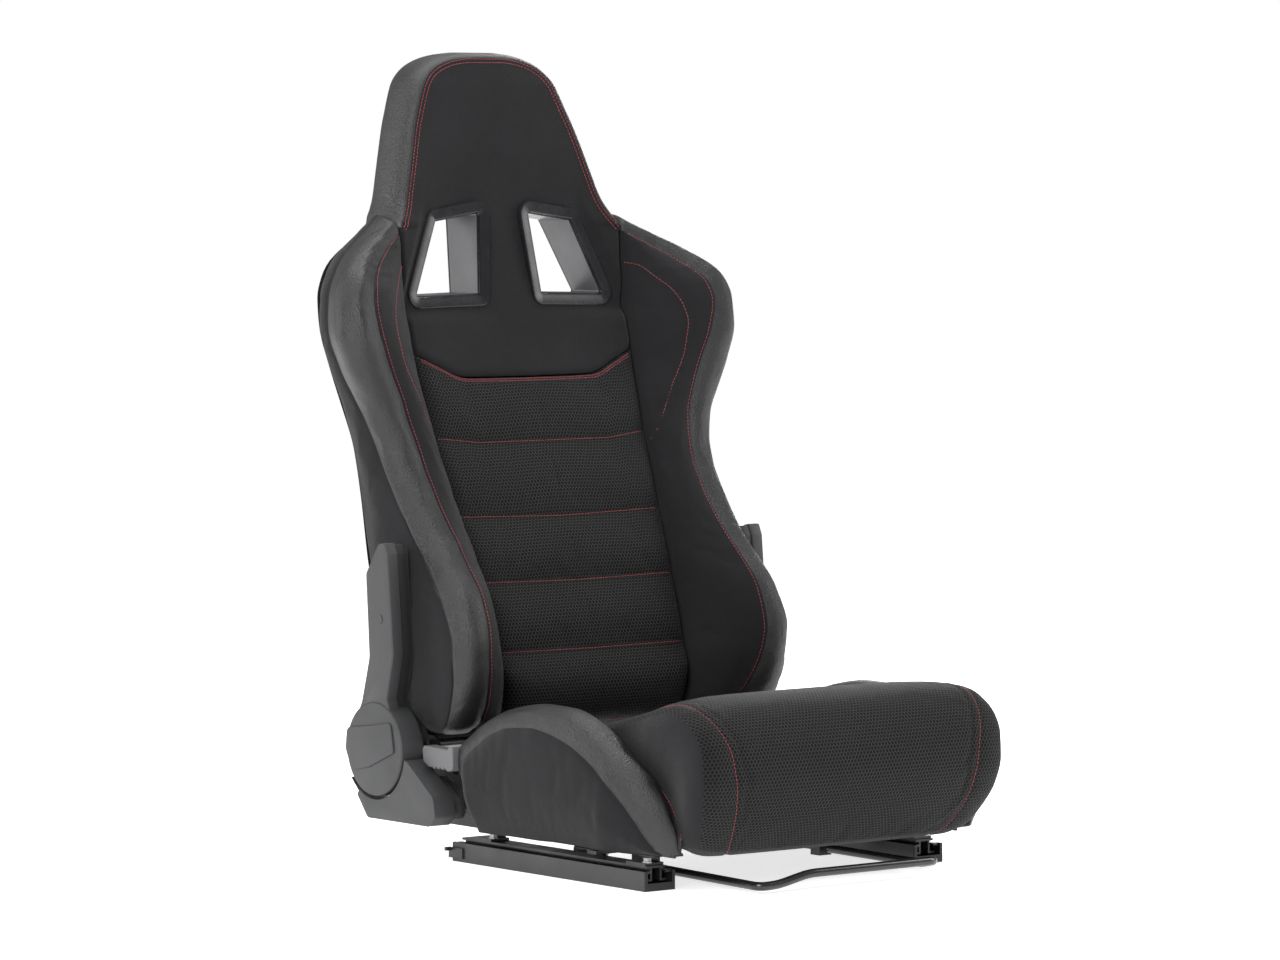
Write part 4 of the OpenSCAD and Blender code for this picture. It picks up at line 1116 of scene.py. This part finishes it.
ARM = [(208, 150), (222, 186), (209, 238), (220, 352), (226, 365), (238, 363), (262, 328), (256, 232),
       (271, 180), (288, 150)]
ARM_RADII = [2, 8, 14, 5, 3, 6, 10, 26, 22, 2]
for side, s in (("left", 1), ("right", -1)):
    disc = moulding("disc", arc_points(54, 0, 355, 72), 248, COVER_X, 2.4, plastic, s)
    arm = moulding("arm", rounded(ARM, ARM_RADII), 262, COVER_X - 2.0, 2.6, plastic, s)
    # a thin near-black plate just inside the arm's outline: painted shade on the arm's inner side
    inner = moulding("arm_shade_sheet", shrunk(rounded(ARM, ARM_RADII), 2.0).tolist(), 250, 263, 0.6,
                     shadow_plastic, s)
    cover = joined(f"upper_cover_shell_{side}", [disc, arm, inner])
    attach(cover, "back")
    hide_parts(f"upper_cover_{side}")

    cap_outline = rounded([(203, 126), (209, 160), (248, 154), (294, 149), (297, 124), (285, 100),
                           (252, 106)], [4, 6, 20, 8, 12, 10, 14])
    cap = moulding("cap", cap_outline, COVER_X - 0.5, COVER_X + 2.6, 1.1, plastic, s)
    cap.name = cap.data.name = f"cover_cap_{side}"
    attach(cap, "back")
    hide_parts(f"recliner_cap_{side}")

    # a crescent below the round box, leaving a narrow shadow gap round it
    shape = rounded([(280, 74), (258, 47), (139, 47), (127, 58), (131, 80), (182, 118)],
                    [4, 8, 8, 5, 14, 2]) + arc_points(58, 188, 322, 34)
    lower = moulding("lower", shape, 250, COVER_X - 1, 2.6, plastic, s)
    wall = moulding("wall", rounded([(142, 52), (136, 60), (139, 76), (174, 100), (184, 92), (178, 58)],
                                    [4, 4, 6, 4, 4, 4]), 228, 251, 1.2, plastic, s)
    lower = joined(f"lower_cover_shell_{side}", [lower, wall])
    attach(lower, "seat")
    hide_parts(f"lower_cover_{side}")

# ---------------------------------------------------------------------------
# Recliner grip: a light grey moulded handle pushed onto the end of the steel lever
# on the occupant's right, with a raised lip in front and finger notches below.

grip_plastic, shader = finish_of("grip_plastic", (0.105, 0.105, 0.109), 0.5)
dress(grip_plastic, shader, 14, (0.095, 0.095, 0.099), (0.117, 0.117, 0.121), 900, 1500, 0.18, 0.0003,
      rough=(0.42, 0.56))
low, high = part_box("lever_grip")
gy0, gy1, gz0, gz1 = (v / MM for v in (low.y, high.y, low.z, high.z))
notched = [(gy0, gz1 + 0.5), (gy0 + 8, gz1 + 0.5), (gy0 + 10, gz1 - 3), (gy1 - 3, gz1 - 1.5),
           (gy1, gz1 - 6), (gy1 - 2, gz0 + 8), (gy1 - 12, gz0 + 3)]
for k in range(4):
    y = gy1 - 16 - k * 8
    notched += [(y, gz0 + 2.2), (y - 2, gz0 + 4.2), (y - 4, gz0 + 2.2), (y - 6, gz0 + 0.8)]
notched += [(gy0 + 8, gz0), (gy0 + 1, gz0 + 2), (gy0 - 0.5, gz0 + 8)]
grip = moulding("lever_handle", notched[::-1], 247, 264, 1.1, grip_plastic, -1)
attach(grip, "lever")
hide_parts("lever_grip")

# ---------------------------------------------------------------------------
# Towel bar: one bent steel rod in gloss black, hinged on the seat frame. Lifting
# its front unlocks both rails.

black_paint, shader = finish_of("bar_black", (0.012, 0.012, 0.013), 0.22, coat_weight=0.3,
                                coat_roughness=0.12)
dress(black_paint, shader, 22, (0.010, 0.010, 0.011), (0.016, 0.016, 0.018), 600, 900, 0.04, 0.0002,
      rough=(0.16, 0.3))
bar_low, bar_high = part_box("towel_bar")
BAR_R = 5
h = bar_high.x / MM - BAR_R
fy = bar_low.y / MM + BAR_R
BAR_PATH = [(-h, -78, 12), (-h, fy, 8.5), (-h + 26, fy, 9), (-h + 70, fy, 18), (h - 8, fy, 18),
            (h, fy + 34, 11), (h, -78, 12)]


def bent(path, reach):
    """A path of points with its corners rounded off."""
    out = [path[0]]
    for a, p, b in zip(path, path[1:], path[2:]):
        a, p, b = Vector(a), Vector(p), Vector(b)
        u, v = (a - p).normalized(), (b - p).normalized()
        out += [tuple(p + u * reach * (1 - t) ** 2 + v * reach * t ** 2) for t in np.linspace(0, 1, 9)]
    return out + [path[-1]]


def rod(name, path, radius, material):
    """A solid bent rod along a path, closed at both ends, as a mesh."""
    curve = bpy.data.curves.new(name, "CURVE")
    curve.dimensions, curve.bevel_depth, curve.bevel_resolution = "3D", radius * MM, 6
    curve.use_fill_caps = True
    spline = curve.splines.new("POLY")
    spline.points.add(len(path) - 1)
    for point, p in zip(spline.points, path):
        point.co = (*(c * MM for c in p), 1)
    piece = bpy.data.objects.new(name, curve)
    bpy.context.scene.collection.objects.link(piece)
    bpy.ops.object.select_all(action="DESELECT")
    piece.select_set(True)
    bpy.context.view_layer.objects.active = piece
    bpy.ops.object.convert(target="MESH")
    piece = bpy.context.object
    piece.data.materials.clear()
    piece.data.materials.append(material)
    bpy.ops.object.shade_smooth_by_angle(angle=math.radians(40))
    return piece


bar = rod("release_bar", bent(BAR_PATH, 12), BAR_R, black_paint)
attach(bar, "release_bar")
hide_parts("towel_bar")

# ---------------------------------------------------------------------------
# Steel and small parts kept from the frame: rails, feet, plates, tubes, springs
# and fixings. Each gets the finish that such a part has.

rail_paint, shader = finish_of("rail_black", (0.018, 0.018, 0.02), 0.36, specular_ior_level=0.5)
dress(rail_paint, shader, 13, (0.014, 0.014, 0.016), (0.024, 0.024, 0.026), 700, 1100, 0.08, 0.0002,
      rough=(0.28, 0.42))
frame_paint, shader = finish_of("frame_black", (0.02, 0.02, 0.021), 0.5)
dress(frame_paint, shader, 13, (0.015, 0.015, 0.016), (0.026, 0.026, 0.028), 800, 1200, 0.15, 0.0003,
      rough=(0.42, 0.58))
cap_plastic, shader = finish_of("end_cap_plastic", (0.008, 0.008, 0.009), 0.5)
dress(cap_plastic, shader, 17, (0.007, 0.007, 0.008), (0.011, 0.011, 0.012), 800, 1400, 0.15, 0.0003)
cage_plastic, shader = finish_of("cage_plastic", (0.5, 0.47, 0.4), 0.5)
dress(cage_plastic, shader, 17, (0.46, 0.43, 0.36), (0.55, 0.52, 0.45), 800, 1400, 0.1, 0.0003)
zinc, shader = finish_of("zinc_steel", (0.55, 0.55, 0.56), 0.32, metallic=0.95)
dress(zinc, shader, 30, (0.26, 0.26, 0.27), (0.36, 0.36, 0.37), 900, 1500, 0.1, 0.0002,
      rough=(0.24, 0.4))
wire, shader = finish_of("spring_wire", (0.3, 0.3, 0.31), 0.35, metallic=0.9)
dress(wire, shader, 26, (0.22, 0.22, 0.23), (0.36, 0.36, 0.37), 900, 1500, 0.1, 0.0002,
      rough=(0.28, 0.44))
FINISHES = {
    "rail_black": rail_paint, "frame_black": frame_paint, "end_cap_plastic": cap_plastic,
    "cage_plastic": cage_plastic, "zinc_steel": zinc, "spring_wire": wire, "bar_black": black_paint,
    "cover_plastic": plastic, "grip_plastic": grip_plastic, "bezel_gloss": gloss,
    "sleeve_plastic": satin, "leather": leather, "knit_fabric": knit, "air_mesh": air_mesh}
slot_of = {part["node"]: part["material_slot"] for part in frame["record"]["subparts"]}
for name, node in frame["nodes"].items():
    node.data.materials.clear()
    node.data.materials.append(FINISHES[slot_of[name]])
